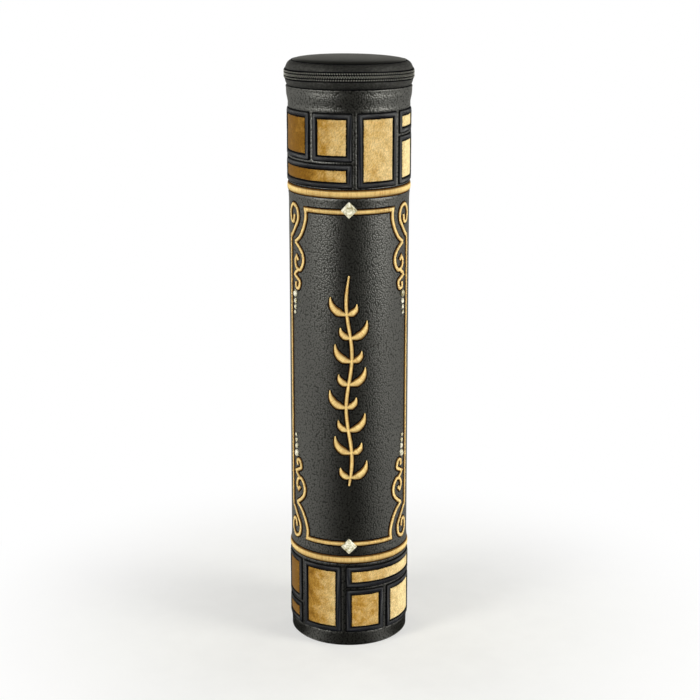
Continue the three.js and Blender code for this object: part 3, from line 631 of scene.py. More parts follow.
class Skin:
    """Gathers the points, faces and UVs of one mesh."""

    def __init__(self):
        self.points, self.faces, self.uvs, self.finishes = [], [], [], []
        self.count = 0

    def add(self, points):
        points = np.asarray(points, float).reshape(-1, 3)
        numbers = self.count + np.arange(len(points))
        self.points.append(points)
        self.count += len(points)
        return numbers

    def grid(self, points, closed=(False, False), uv=None, slot=0):
        """Faces between the rows and columns of a grid of points, closed round either way."""
        rows, columns = points.shape[:2]
        numbers = self.add(points).reshape(rows, columns)
        steps = np.arange(rows - (not closed[0])), np.arange(columns - (not closed[1]))
        row, column = (places.ravel() for places in np.meshgrid(*steps, indexing="ij"))
        corners = [(row, column), (row, column + 1), (row + 1, column + 1), (row + 1, column)]
        self.faces += np.stack([numbers[a % rows, b % columns] for a, b in corners], 1).tolist()
        uv = np.zeros((rows + 1, columns + 1, 2)) if uv is None else uv
        self.uvs.append(np.stack([uv[a, b] for a, b in corners], 1).reshape(-1, 2))
        self.finishes += [slot] * len(row)
        return numbers

    def face(self, numbers, slot=0):
        self.faces.append([int(number) for number in numbers])
        self.uvs.append(np.zeros((len(numbers), 2)))
        self.finishes.append(slot)

    def fan(self, ring, centre, slot=0):
        """Closes a ring of points towards one in its middle."""
        middle = self.add([centre])[0]
        for first, second in zip(ring, np.roll(ring, -1)):
            self.face([first, second, middle], slot)

    def wall(self, top, under, slot=0):
        """Joins the four edges of one grid to those of the grid under it."""
        for edge in (0, -1, (slice(None), 0), (slice(None), -1)):
            first, second = top[edge], under[edge]
            for place in range(len(first) - 1):
                self.face([first[place], first[place + 1], second[place + 1], second[place]], slot)

    def lathe(self, outline, sway=False):
        """Turns an outline of (radius, height) round the axis; ends on the axis become poles."""
        outline = np.asarray(outline, float)
        on_axis = outline[:, 0] < MM
        rings = outline[~on_axis]
        turn = np.linspace(0, tau, LATHE_STEPS, endpoint=False)[:, None]
        points = turned(rings[:, 0], turn, rings[:, 1])
        points = swayed(points) if sway else points
        around = np.linspace(0, 2 * HALF_GIRTH, LATHE_STEPS + 1)[:, None]
        uv = np.stack(np.broadcast_arrays(around, [*distances(rings), 0]), -1) * MM
        numbers = self.grid(points, (True, not on_axis.any()), uv)
        for end in (0, -1):
            if on_axis[end]:
                self.fan(numbers[:, end], [0, 0, outline[end, 1]])

    def sector(self, loop, start, end, steps):
        """Sweeps a closed outline of a sheet between two azimuths and closes its ends."""
        turn = np.radians(np.linspace(start, end, steps + 1))[:, None]
        points = swayed(turned(loop[:, 0], turn, loop[:, 1]))
        uv = np.stack(np.broadcast_arrays(turn * COVER, [*distances(loop), 0]), -1) * MM
        numbers = self.grid(points, (False, True), np.concatenate([uv, uv[-1:]]))
        half = len(loop) // 2 - 1
        for ring in (numbers[0], numbers[-1]):
            for place in range(-1, half):
                far = 2 * half - place
                pair = [ring[place], ring[place + 1], ring[far - 1], ring[far % len(ring)]]
                self.face(list(dict.fromkeys(int(number) for number in pair)))

    def mesh(self, name, finishes, sharp=42.0):
        """The finished mesh, in metres, with its faces turned outwards."""
        made = bpy.data.meshes.new(name)
        made.from_pydata((np.concatenate(self.points) * MM).tolist(), [], self.faces)
        layer = made.uv_layers.new(name="UVMap")
        layer.data.foreach_set("uv", np.concatenate(self.uvs).astype(np.float32).ravel())
        for wanted in finishes:
            made.materials.append(finish(wanted))
        made.polygons.foreach_set("material_index", self.finishes)
        cleaned(made)
        smoothed(made, sharp)
        made.update()
        return made


def shown(name, mesh):
    made = bpy.data.objects.new(name, mesh)
    bpy.context.scene.collection.objects.link(made)
    return made


def joined(name, meshes):
    """One object from several meshes."""
    parts = [shown(f"{name}_part_{place}", mesh) for place, mesh in enumerate(meshes)]
    with bpy.context.temp_override(
        active_object=parts[0], object=parts[0], selected_objects=parts, selected_editable_objects=parts,
    ):
        bpy.ops.object.join()
    parts[0].name = parts[0].data.name = name
    return parts[0]


def settle(piece, body, slot, *nodes):
    """Gives a finished piece its body and hides the solids that it stands for; its slot is not used."""
    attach(piece, body)
    if nodes:
        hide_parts(*nodes)
    return piece


def dressed(skin, name, wanted, body, slot, *nodes, sharp=42.0):
    """A settled piece of one finish."""
    return settle(shown(name, skin.mesh(name, [wanted], sharp)), body, slot, *nodes)


def grown(name, points, carried, tree, values):
    """A plain mesh that a node tree grows from points and what each of them carries."""
    seeds = bpy.data.meshes.new(f"{name}_seeds")
    seeds.from_pydata((np.asarray(points) * MM).tolist(), [], [])
    for key, data in carried.items():
        data = np.asarray(data, np.float32)
        kind, field = ("FLOAT", "value") if data.ndim == 1 else ("FLOAT_VECTOR", "vector")
        seeds.attributes.new(key, kind, "POINT").data.foreach_set(field, data.ravel())
    carrier = shown(f"{name}_carrier", seeds)
    modifier = carrier.modifiers.new("Grow", "NODES")
    modifier.node_group = tree
    for item in tree.interface.items_tree:
        if item.in_out == "INPUT" and item.name in values:
            modifier[item.identifier] = values[item.name]
    graph = bpy.context.evaluated_depsgraph_get()
    made = bpy.data.meshes.new_from_object(carrier.evaluated_get(graph), depsgraph=graph)
    carrier.modifiers.clear()
    bpy.data.objects.remove(carrier)
    bpy.data.meshes.remove(seeds)
    made.name = name
    return made


def soft_end(tree, geometry, material):
    """Realizes what a tree has grown, shades it smooth and gives it its finish."""
    real = node(tree, "GeometryNodeRealizeInstances", {0: geometry}).outputs[0]
    soft = node(tree, "GeometryNodeSetShadeSmooth", {"Geometry": real}).outputs[0]
    done = node(tree, "GeometryNodeSetMaterial", {"Geometry": soft, "Material": material}).outputs[0]
    return {"Geometry": done}


def carried(tree, name, kind="FLOAT"):
    return node(tree, "GeometryNodeInputNamedAttribute", {"Name": name}, data_type=kind).outputs[0]


def stored(tree, geometry, name, value, domain="POINT"):
    """A geometry whose points or instances carry a value under a name."""
    return node(tree, "GeometryNodeStoreNamedAttribute", {
        "Geometry": geometry, "Name": name, "Value": value,
    }, data_type="FLOAT", domain=domain).outputs[0]


def place_here(tree):
    return split(tree, node(tree, "GeometryNodeInputPosition").outputs[0])


def stood(tree, points, shape, outwards, *scale):
    """A shape on each point, with one of its axes outwards and its X across the stitching."""
    turn = node(tree, "FunctionNodeAxesToRotation", {
        "Primary Axis": carried(tree, "out", "FLOAT_VECTOR"),
        "Secondary Axis": carried(tree, "across", "FLOAT_VECTOR"),
    }, primary_axis=outwards, secondary_axis="X").outputs[0]
    return node(tree, "GeometryNodeInstanceOnPoints", {
        "Points": points, "Instance": shape, "Rotation": turn, "Scale": vector(tree, *scale),
    }).outputs[0]


def tubed(tree, curves, radius, sides):
    """A round tube along curves, closed at its ends."""
    keys = {"Resolution": sides, "Radius": radius}
    profile = node(tree, "GeometryNodeCurvePrimitiveCircle", keys, mode="RADIUS").outputs[0]
    keys = {"Curve": curves, "Profile Curve": profile, "Fill Caps": True}
    return node(tree, "GeometryNodeCurveToMesh", keys).outputs[0]


@built_once("Satin threads", "GeometryNodeTree", {
    "Geometry": GEOMETRY, "Thread Radius": 0.00026, "Raggedness": 0.06, "Seed": 1,
    "Material": "NodeSocketMaterial",
}, ("Geometry",), GEOMETRY)
def satin_tree(tree, given):
    """One arched thread over each point, from one edge of the stitching to the other."""
    arc = node(tree, "GeometryNodeCurveArc", {
        "Resolution": 7, "Radius": 1.0, "Start Angle": 0.0, "Sweep Angle": pi,
    }, mode="RADIUS").outputs[0]
    arc = stored(tree, arc, "thread_edge", place_here(tree)[0])

    def chance(low, high, step):
        seed = plus(tree, given["Seed"], step)
        keys = {"Seed": seed, 2: low, 3: high}
        return node(tree, "FunctionNodeRandomValue", keys, data_type="FLOAT").outputs[1]

    reach = scaled(tree, chance(-1.0, 1.0, 0), given["Raggedness"], 1.0)
    rise = times(tree, carried(tree, "crest"), chance(0.94, 1.03, 11))
    half = times(tree, carried(tree, "half"), reach)
    arcs = stood(tree, given["Geometry"], arc, "Y", half, rise, 1.0)
    arcs = stored(tree, arcs, "thread_shade", chance(0.0, 1.0, 29), "INSTANCE")
    curves = node(tree, "GeometryNodeRealizeInstances", {0: arcs}).outputs[0]
    return soft_end(tree, tubed(tree, curves, given["Thread Radius"], 4), given["Material"])


@built_once("Zip coil", "GeometryNodeTree", {
    "Geometry": GEOMETRY, "Loops": 100.0, "Radius": 0.0404, "Depth": 0.0004, "Start": -2.0, "Sweep": 4.0,
    "Line": 0.372, "Offset": 0.0015, "Half Width": 0.0014, "Lean": 0.0, "Saddle": 0.0, "Sunk": 0.0,
    "Wire Radius": 0.0003, "Material": "NodeSocketMaterial",
}, ("Geometry",), GEOMETRY)
def coil_tree(tree, given):
    """A flattened spiral of wire bent round the zip's arc, one row of a coil zip."""
    spiral = node(tree, "GeometryNodeCurveSpiral", {
        "Resolution": 14, "Rotations": given["Loops"], "Start Radius": 1.0, "End Radius": 1.0, "Height": 1.0,
    }).outputs[0]
    place = place_here(tree)
    turn = scaled(tree, place[2], given["Sweep"], given["Start"])
    ahead = maths(tree, "COSINE", turn)
    squared = times(tree, place[0], place[0])
    lobes = times(tree, place[0], less(tree, 1.6, squared))
    radius = scaled(tree, lobes, given["Depth"], given["Radius"])
    height = scaled(tree, place[1], given["Half Width"], given["Offset"])
    saddle = maths(tree, "COSINE", times(tree, turn, 2.0))
    sway = scaled(tree, given["Saddle"], saddle, given["Sunk"])
    sway = scaled(tree, given["Lean"], ahead, sway)
    bent = vector(
        tree, times(tree, radius, maths(tree, "SINE", turn)),
        times(tree, times(tree, radius, -1.0), ahead),
        plus(tree, plus(tree, given["Line"], height), sway),
    )
    spiral = stored(tree, spiral, "loop_share", place[1])
    wire = node(tree, "GeometryNodeSetPosition", {"Geometry": spiral, "Position": bent}).outputs[0]
    return soft_end(tree, tubed(tree, wire, given["Wire Radius"], 6), given["Material"])


@built_once("Sewn beads", "GeometryNodeTree", {
    "Geometry": GEOMETRY, "Flatness": 0.55, "Material": "NodeSocketMaterial",
}, ("Geometry",), GEOMETRY)
def bead_tree(tree, given):
    """A domed bead on each point, flattened towards the leather."""
    ball = node(tree, "GeometryNodeMeshUVSphere", {"Segments": 12, "Rings": 8, "Radius": 1.0}).outputs[0]
    half = carried(tree, "half")
    beads = stood(tree, given["Geometry"], ball, "Z", half, times(tree, half, 1.12),
                  times(tree, half, given["Flatness"]))
    return soft_end(tree, beads, given["Material"])


# Satin stitching: a rounded core and the threads over it

ARCH = np.array([(cos(turn), sin(turn)) for turn in np.linspace(0, pi, 9)])
SUNK = 0.3


def core(skin, left, right, crest, closed, slot=0):
    """A rounded ribbon between two edges, given as (girth, height, out), with its foot in the leather."""
    first, second = wrapped(*left.T), wrapped(*right.T)
    middle, across = (first + second) / 2, (second - first) / 2
    up = outward(middle)
    crest = np.broadcast_to(np.asarray(crest, float), len(left))[:, None, None]
    arch = middle[:, None] + across[:, None] * ARCH[:, 0, None] + up[:, None] * ARCH[:, 1, None] * crest
    foot = np.stack([middle - across, middle + across], 1) - up[:, None] * SUNK
    numbers = skin.grid(np.concatenate([arch, foot], 1), (closed, True), slot=slot)
    if not closed:
        for end in (0, -1):
            skin.fan(numbers[end], middle[end], slot)


def stitches(left, right, crest, closed):
    """Where each thread goes between two edges: its middle and what its arch needs."""
    spacing = size("thread_spacing")
    crest = np.broadcast_to(np.asarray(crest, float), len(left))
    rows = []
    last = len(left) if closed else len(left) - 1
    for place in range(last):
        other = (place + 1) % len(left)
        reach = max(np.linalg.norm(left[other] - left[place]), np.linalg.norm(right[other] - right[place]))
        count = max(1, int(np.ceil(reach / spacing)))
        for share in (np.arange(count) + 0.5) / count:
            rows.append(np.concatenate([
                left[place] + (left[other] - left[place]) * share,
                right[place] + (right[other] - right[place]) * share,
                [crest[place] + (crest[other] - crest[place]) * share],
            ]))
    rows = np.array(rows)
    first, second = wrapped(*rows[:, :3].T), wrapped(*rows[:, 3:6].T)
    middle, across = (first + second) / 2, second - first
    width = np.linalg.norm(across, axis=1)
    return middle, across / width[:, None], outward(middle), width / 2, rows[:, 6]


def threads(name, runs, seed, material, ragged):
    """All the threads of some runs of stitching as one mesh."""
    middle, across, out, half, crest = (np.concatenate(parts) for parts in zip(*runs))
    carried_values = {"across": across, "out": out, "half": half * MM, "crest": crest * MM}
    return grown(name, middle, carried_values, satin_tree(), {
        "Thread Radius": size("thread_radius") * MM, "Raggedness": ragged,
        "Seed": seed + bpy.context.scene.case_sizes.seed, "Material": finish(material),
    })


LINE_SEAT = 0.08
SHARP_TURN = 0.75
MITRE_LIMIT = 0.6


def edges_of(path, width):
    """The two edges of a line of some width along (girth, height) points, mitred at its corners."""
    path = np.asarray(path, float)
    width = np.broadcast_to(np.asarray(width, float), len(path))
    steps = np.diff(path, axis=0)
    heading = np.arctan2(steps[:, 1], steps[:, 0])
    bend = np.abs((np.diff(heading) + pi) % tau - pi)
    sharp = np.nonzero(bend > SHARP_TURN)[0] + 1
    keep = np.ones(len(path), bool)
    for place in sharp:
        close = np.linalg.norm(path - path[place], axis=1) < width[place] * 0.75
        close[place] = False
        keep &= ~close
    keep[[0, -1]] = True
    path, width = path[keep], width[keep]
    steps = np.diff(path, axis=0)
    along = steps / np.linalg.norm(steps, axis=1, keepdims=True)
    into = np.concatenate([along[:1], along])
    away = np.concatenate([along, along[-1:]])
    mean = into + away
    mean /= np.linalg.norm(mean, axis=1, keepdims=True)
    stretch = 1 / np.maximum((mean * into).sum(1), MITRE_LIMIT)
    side = np.stack([-mean[:, 1], mean[:, 0]], 1) * (width / 2 * stretch)[:, None]
    out = np.full((len(path), 1), LINE_SEAT)
    return np.hstack([path + side, out]), np.hstack([path - side, out])


SHADOW_LINE_REACH = 0.85
SHADOW_LINE_CREST = 0.24
STRAND_LIFT = 0.2


def widened(left, right):
    """Both edges moved apart, for the black core under a gold line that shows beside it as a painted shadow
    line.
    """
    side = left - right
    side /= np.linalg.norm(side[:, :2], axis=1, keepdims=True)
    left, right = left + side * SHADOW_LINE_REACH, right - side * SHADOW_LINE_REACH
    left[:, 2] = right[:, 2] = 0
    return left, right


def gold_lines(name, lines, seed, crest):
    """Raised gold satin lines with a painted shadow line of black along both edges; each line is its points
    and its width.
    """
    skin = Skin()
    runs = []
    for path, width in lines:
        left, right = edges_of(path, width)
        ends = np.minimum(1, np.minimum(np.arange(len(left)), np.arange(len(left))[::-1]) * 0.5 + 0.55)
        core(skin, left, right, (crest - SHADOW_LINE_CREST) * ends, False, 0)
        core(skin, *widened(left, right), SHADOW_LINE_CREST, False, 1)
        runs.append(stitches(left, right, (crest - STRAND_LIFT) * ends, False))
    body = skin.mesh(name, ["gold_satin_core", "black_satin_core"])
    return joined(name, [body, threads(name, runs, seed, "gold_satin", 0.05)])


# The frame's scrolls, as shares of their own width and height

SHOULDER = [(-0.02, 0), (-0.05, 0.1), (0.12, 0.225), (0.42, 0.335), (0.87, 0.41)]
SCROLL = [(0.87, 0.41), (0.47, 0.47), (0.2, 0.545), (0.17, 0.64), (0.42, 0.728), (0.74, 0.715),
          (0.88, 0.645), (0.74, 0.58), (0.58, 0.62)]
CURL = [(0.6, 0.735), (0.96, 0.8), (0.7, 0.835), (0.45, 0.875), (0.58, 0.955), (0.82, 0.945), (0.8, 0.885)]
SIDE_SCROLL = [(0.16, 1), (0.62, 0.72), (0.98, 0.42), (0.86, 0.1), (0.36, 0), (-0.02, 0.22), (0.1, 0.52),
               (0.44, 0.54), (0.54, 0.32)]
FRAME_HALF = 30.2
SCROLL_SPAN = (12.0, 54.0)
SIDE_SPAN = (10.0, 20.0)
SIDE_LINE = 46.8
FRAME_HEIGHT = FRAME_HIGH - FRAME_LOW
FACES = {"front": 0.0, "back": HALF_GIRTH}
CURVE_STEP = 0.5
FRAME_LINE = 2.9


def frame_edge(end):
    """Height of the frame's line at the top (1) or the bottom (-1)."""
    return FRAME_MIDDLE + end * (FRAME_HEIGHT - FRAME_LINE) / 2


def frame_lines(face, end):
    """The frame across one end of a face, with its scrolls and curls."""
    edge, thin, wide = frame_edge(end), size("scroll_width"), size("line_width")

    def placed(shares, hand):
        return [(face + hand * (FRAME_HALF + out * SCROLL_SPAN[0]), edge - end * down * SCROLL_SPAN[1])
                for out, down in shares]

    left, right = (spline(placed(SHOULDER, hand), CURVE_STEP) for hand in (-1, 1))
    across = [(girth, edge) for girth in np.linspace(left[0][0], right[0][0], 50)[1:-1]]
    line = np.array([*left[::-1], *across, *right])
    level_part = np.abs(line[:, 1] - edge) < 0.01
    lines = [(line, np.where(level_part, wide, thin))]
    for hand in (-1, 1):
        for shares in (SCROLL, CURL):
            lines.append((spline(placed(shares, hand), CURVE_STEP), thin))
    return lines


def side_lines(face, hand):
    """The upright line beside a face, with a scroll at each end."""
    thin = size("scroll_width")
    lines, ends = [], []
    for end in (1, -1):
        edge = FRAME_MIDDLE + end * FRAME_HEIGHT / 2
        path = [(face + hand * (SIDE_LINE - across * SIDE_SPAN[0]), edge - end * down * SIDE_SPAN[1])
                for across, down in SIDE_SCROLL]
        lines.append((spline(path, CURVE_STEP), thin))
        ends.append((path[0][0] + hand * thin / 2, path[0][1] + end * thin / 2, path[0][1]))
    straight = face + hand * SIDE_LINE
    upright = [ends[0][:2], (straight, ends[0][2] - thin * 2), (straight, ends[1][2] + thin * 2), ends[1][:2]]
    lines.append((spaced(upright, 2.0), thin))
    return lines


STEM_HEIGHT, STEM_SWING = 138.0, 1.8
LEAF_SHARES = (0.04, 0.16, 0.27, 0.38, 0.49, 0.6, 0.71, 0.82)
LEAF_REACH, LEAF_RISE, LEAF_WIDTH = 10.5, 11.0, 5.2


def stem_place(share):
    return np.array([STEM_SWING * sin(2 * tau * share), FRAME_MIDDLE + STEM_HEIGHT * (share - 0.5)])


def stem_lines():
    """A swaying stem with a leaf to either side at each joint, and a bud at its tip."""
    stem = np.array([stem_place(share) for share in np.linspace(0, 1, 90)])
    taper = np.interp(np.linspace(0, 1, 90), [0, 0.08, 0.9, 1], [1.2, 2.3, 2.1, 0.9])
    lines = [(stem, taper)]
    for place, share in enumerate(LEAF_SHARES):
        hand = 1 if place % 2 == 0 else -1
        for reach in (hand, -hand * 0.6):
            run = np.linspace(0, 1, 18)
            root = stem_place(share)
            path = np.stack([root[0] + LEAF_REACH * reach * np.sin(run * pi / 2),
                             root[1] + LEAF_RISE * abs(reach) * run ** 2], 1)
            width = LEAF_WIDTH * np.interp(run, [0, 0.33, 0.67, 1], [0.3, 1, 0.8, 0.08])
            lines.append((path, width * (1 if abs(reach) == 1 else 0.85)))
    return lines


# Panels of suede, six to a face at either end of the case, as (left, right, low, high)

COLUMNS = [(-58.6, -26.42), (-23.62, 1.77), (5.37, 32.85), (35.65, 58.6)]
BAND_HIGH = 45.3
LOW_ROW, SHORT_ROW, ROW_GAP = 14.2, 29.6, 2.0
CELLS = [
    (*COLUMNS[0], LOW_ROW + ROW_GAP, BAND_HIGH), (*COLUMNS[1], LOW_ROW + ROW_GAP, BAND_HIGH),
    (COLUMNS[0][0], COLUMNS[1][1], 0, LOW_ROW), (*COLUMNS[2], 0, BAND_HIGH),
    (*COLUMNS[3], SHORT_ROW + ROW_GAP, BAND_HIGH), (*COLUMNS[3], 0, SHORT_ROW),
]
UPPER_FOOT = level("upper_front_panel_3", 0)
LOWER_FOOT = level("lower_front_panel_1", 0)
BANDS = {"lower_gold_band": level("lower_gold_band", 0), "upper_gold_band": level("upper_gold_band", 0)}
BAND_WIDTH = 4.7


def panel_places():
    """Name and rectangle of every panel; the lower ones are the upper ones turned half round."""
    places = {}
    for face, shift in FACES.items():
        for number, (left, right, low, high) in enumerate(CELLS, 1):
            places[f"upper_{face}_panel_{number}"] = (
                shift + left, shift + right, UPPER_FOOT + low, UPPER_FOOT + high,
            )
            places[f"lower_{face}_panel_{number}"] = (
                shift - right, shift - left, LOWER_FOOT + BAND_HIGH - high, LOWER_FOOT + BAND_HIGH - low,
            )
    return places


BORDER_STEP = 1.4


def ring_pair(box, border, corners, outs):
    """Two rounded rectangles, one inside the other, with matching points for stitches to span."""
    left, right, low, high = box
    loops = []
    for inset, radius, out in zip((0.0, border), corners, outs):
        edge = inset + radius
        near, far, foot, top = left + edge, right - edge, low + edge, high - edge
        centres = [(far, foot), (far, top), (near, top), (near, foot)]
        loop = []
        for place, (centre, after) in enumerate(zip(centres, centres[1:] + centres[:1])):
            turns = np.radians(np.linspace(-90, 0, 5) + 90 * place)
            arc = np.array(centre) + radius * np.stack([np.cos(turns), np.sin(turns)], 1)
            run = np.array(after) - centre
            count = max(2, round(((high - low) if place % 2 == 0 else (right - left)) / BORDER_STEP))
            loop += [arc, arc[-1] + run * (np.arange(1, count) / count)[:, None]]
        loop = np.concatenate(loop)
        loops.append(np.column_stack([loop, np.full(len(loop), out)]))
    return loops


def ripple(girth, height, wave):
    """A soft unevenness, the same on every run."""
    first = np.sin(girth / wave + 1.3 * np.sin(height / wave * 0.7))
    return (first + np.sin(height / wave * 1.3 + girth / wave * 0.4)) / 2


# Operators, one for each piece or group of like pieces

class CASE_OT_boards(bpy.types.Operator):
    """Gives the boards of the tube, the base and the lid their finish, with black cloth on the lid's disc"""

    bl_idname = "case.boards"
    bl_label = "Boards"

    def execute(self, context):
        for name in ("board_tube", "base_board", "lid_ring", "lid_board"):
            board = frame["nodes"][name]
            board.data.materials.clear()
            board.data.materials.append(finish("flocked_lining" if name == "lid_board" else "grey_board"))
        return {"FINISHED"}


SWELL_RISE, SWELL_START, SWELL_FALL = 1.5, 1.2, 3.0
DIP_DEPTH, DIP_WIDTH = 0.24, 0.45
SEAM_DEPTH, SEAM_WIDTH = 0.22, 0.35
STITCHES_IN, UNDER_STITCHES = 0.8, 0.2


def eased(share):
    """A share from 0 to 1 with a soft start and end."""
    share = np.clip(share, 0, 1)
    return share * share * (3 - 2 * share)


def relief(girth, height):
    """How far the leather stands out: it swells between the panels and dips at their stitches."""
    girth, height = np.broadcast_arrays(girth, height)
    near = np.full(girth.shape, 99.0)
    for left, right, low, high in panel_places().values():
        middle = (left + right) / 2
        around = (girth - middle + HALF_GIRTH) % (2 * HALF_GIRTH) - HALF_GIRTH
        beside = np.abs(around) - (right - left) / 2
        above = np.abs(height - (low + high) / 2) - (high - low) / 2
        outside = np.hypot(np.maximum(beside, 0), np.maximum(above, 0))
        near = np.minimum(near, np.where((beside < 0) & (above < 0), np.maximum(beside, above), outside))
    for foot in BANDS.values():
        near = np.minimum(near, np.abs(height - foot - BAND_WIDTH / 2) - BAND_WIDTH / 2)
    swell = size("puff") * eased(near / SWELL_RISE) * (1 - eased((near - SWELL_START) / SWELL_FALL))
    dip = DIP_DEPTH * np.exp(-np.maximum(near, 0) / DIP_WIDTH)
    seam = SEAM_DEPTH * np.exp(-(((girth + HALF_GIRTH / 2) / SEAM_WIDTH) ** 2))
    return swell - dip - seam - np.where(near < -STITCHES_IN, UNDER_STITCHES, 0)


LEATHER_RIM = [(39.6, -0.95), (39.72, -0.6), (39.6, -0.2), (39.25, 0.02), (38.9, -0.15), (38.7, -0.6),
               (38.58, -1.2), (38.4, -5)]
LEATHER_FOOT = [(37.3, 2.1), (33.2, 2.1), (33.05, 1.65), (33.2, 1.2), (36.6, 1.2), (37.3, 1.22),
                (37.78, 1.36), (38.08, 1.7)]
BASE_OUTLINE = [(0, 0.02), (20, 0.03), (35.6, 0.0), (36.3, 0.08), (36.66, 0.32), (36.66, 0.62), (36.4, 0.9),
                (20, 0.9), (0, 0.9)]
LEATHER_COLUMNS = 320
FINE_ROW = 0.78
FLARE_HEIGHT, FLARE_OUT = 9.5, 1.3


class CASE_OT_leather(bpy.types.Operator):
    """Makes the sleeve of pebbled leather with its turned-in foot and opened lip, and the base"""

    bl_idname = "case.leather"
    bl_label = "Leather sleeve and base"

    def execute(self, context):
        girth = np.linspace(-HALF_GIRTH, HALF_GIRTH, LEATHER_COLUMNS, endpoint=False)
        heights = np.concatenate([
            [2.15, 3.0, 5.0, 7.5], np.arange(9.2, 65.0, FINE_ROW), np.arange(66.5, 296.5, 3.1),
            np.arange(297.2, 352.0, FINE_ROW), np.arange(352.4, LIP - 1.1, 1.1),
        ])[:, None]
        share = np.clip((heights - FLARE) / FLARE_HEIGHT, 0, 1)
        outer = COVER + FLARE_OUT * eased(share) + relief(girth, heights)
        outer = outer + 0.05 * ripple(girth, heights, 6.5) * (share + 0.35)
        rim = [(radius, LIP + rise) for radius, rise in LEATHER_RIM]
        inner = np.array([*rim, (37.3, FLARE), *LEATHER_FOOT])
        radii = np.concatenate([outer, np.repeat(inner[:, :1], LEATHER_COLUMNS, 1)])
        levels = np.append(heights, inner[:, 1])[:, None]
        sleeve = Skin()
        sleeve.grid(swayed(turned(radii, girth / COVER, levels)), (True, True))
        dressed(sleeve, "sleeve_leather", "pebbled_leather", "case", "cover_leather", "leather_cover")
        base = Skin()
        base.lathe(BASE_OUTLINE)
        dressed(base, "base_leather", "lid_leather", "case", "cover_leather", "base_cover")
        return {"FINISHED"}


TUBE_EDGE = ((37.17, -7), (37.17, -1), (37.1, -0.1), (36.6, 0.13), (35.2, 0.17), (34.2, 0.13), (33.85, -0.3),
             (33.85, -1.5), (33.85, -9))
LID_EDGE = ((37.45, 3.4), (37.45, 0.6), (37.35, 0.02), (36.8, -0.1), (35.8, -0.1), (35.25, 0.02),
            (35.16, 0.6), (35.16, 4.0))


class CASE_OT_linings(bpy.types.Operator):
    """Makes the flocked linings of the tube, its floor and the lid, and the cloth over both rims"""

    bl_idname = "case.linings"
    bl_label = "Linings and bound rims"

    def execute(self, context):
        rim, low = level("board_tube", 1), level("lid_ring", 0)
        foot, top = level("lid_lining", 0), level("lid_lining", 1)
        tube_edge, lid_edge = (
            sheet_loop(spline([(radius, start + rise) for radius, rise in edge], 0.45), 0.2)
            for start, edge in ((rim, TUBE_EDGE), (low, LID_EDGE))
        )
        for name, wanted, body, slot, nodes, outline in (
            ("tube_lining_cloth", "flocked_lining", "case", "lining_cloth", ["tube_lining"],
             [(34.7, 5.2), (34.7, rim), (34.45, rim + 0.05), (34.05, rim - 0.1), (34.0, rim - 1), (34.0, 200),
              (34.0, 5.6), (34.1, 5.2)]),
            ("floor_lining_cloth", "flocked_lining", "case", "lining_cloth", ["floor_lining"],
             [(0, 5.2), (33.6, 5.2), (33.7, 5.35), (33.65, 5.75), (33.0, 5.9), (16, 5.94), (0, 5.9)]),
            ("lid_lining_cloth", "flocked_lining", "lid", "lining_cloth", ["lid_lining"],
             [(0, foot), (20, foot - 0.06), (33.8, foot), (34.7, foot + 0.12), (35.0, foot + 0.4),
              (34.9, top), (0, top)]),
            ("tube_rim_binding", "woven_tape", "case", "zip_tape", [], tube_edge),
            ("lid_rim_binding", "woven_tape", "lid", "zip_tape", [], lid_edge),
        ):
            skin = Skin()
            skin.lathe(outline)
            dressed(skin, name, wanted, body, slot, *nodes)
        return {"FINISHED"}


def unit_steps(path):
    """The direction of a path at each of its points."""
    along = np.gradient(path, axis=0)
    return along / np.linalg.norm(along, axis=1, keepdims=True)


def sheet_loop(line, thickness):
    """The closed outline of a sheet with rounded edges, from (radius, height) points of its middle."""
    line = np.asarray(line, float)
    along = unit_steps(line)
    side = np.stack([along[:, 1], -along[:, 0]], 1) * thickness / 2
    tip, tail = line[-1] + along[-1] * thickness * 0.35, line[0] - along[0] * thickness * 0.35
    return np.concatenate([line + side, [tip], (line - side)[::-1], [tail]])


HEM_FOOT = level("lower_zip_tape", 0)
TAPE_MIDDLE, HEM_MIDDLE, CREASE = 39.675, 37.625, 35.7
TAPE_THICK, TAPE_STEP = 0.65, 0.5
TAPE_GAP = 0.4


def lower_strip(edge):
    """The middle of the lower tape: a hem under the leather, a bulge, then straight to its edge."""
    bulge = TAPE_MIDDLE - HEM_MIDDLE
    rise = ZIP_LINE - TAPE_GAP - 2.8 - LIP
    line = [(HEM_MIDDLE, HEM_FOOT), (HEM_MIDDLE, LIP - 3), (HEM_MIDDLE + 0.05, LIP - 0.9)]
    line += [(HEM_MIDDLE + bulge * out, LIP + rise * up)
             for out, up in ((0.53, 0.17), (0.83, 0.49), (1, 0.82))]
    return spline([*line, (TAPE_MIDDLE, edge - 1.2), (TAPE_MIDDLE, edge)], TAPE_STEP)


def upper_strip(edge):
    """The middle of the upper tape: straight up from its edge, then drawn in to the lid's crease."""
    foot = ZIP_LINE + TAPE_GAP
    rise = level("upper_zip_tape", 1) - 0.3 - foot
    line = [(TAPE_MIDDLE, edge), (TAPE_MIDDLE, edge + 1.3)]
    line += [(TAPE_MIDDLE - (TAPE_MIDDLE - CREASE) * inwards, foot + rise * up)
             for inwards, up in ((0.02, 0.36), (0.13, 0.56), (0.34, 0.76), (0.66, 0.92), (1, 0.985))]
    return spline(line, TAPE_STEP)


class CASE_OT_tapes(bpy.types.Operator):
    """Makes the two woven tapes that carry the zip's rows"""

    bl_idname = "case.tapes"
    bl_label = "Zip tapes"

    def execute(self, context):
        for name, line, body in (
            ("lower", lower_strip(ZIP_LINE - TAPE_GAP), "case"),
            ("upper", upper_strip(ZIP_LINE + TAPE_GAP), "lid"),
        ):
            skin = Skin()
            skin.sector(sheet_loop(line, TAPE_THICK), -TAPE_END, TAPE_END, 220)
            dressed(skin, f"{name}_tape_cloth", "woven_tape", body, "zip_tape", f"{name}_zip_tape")
        return {"FINISHED"}


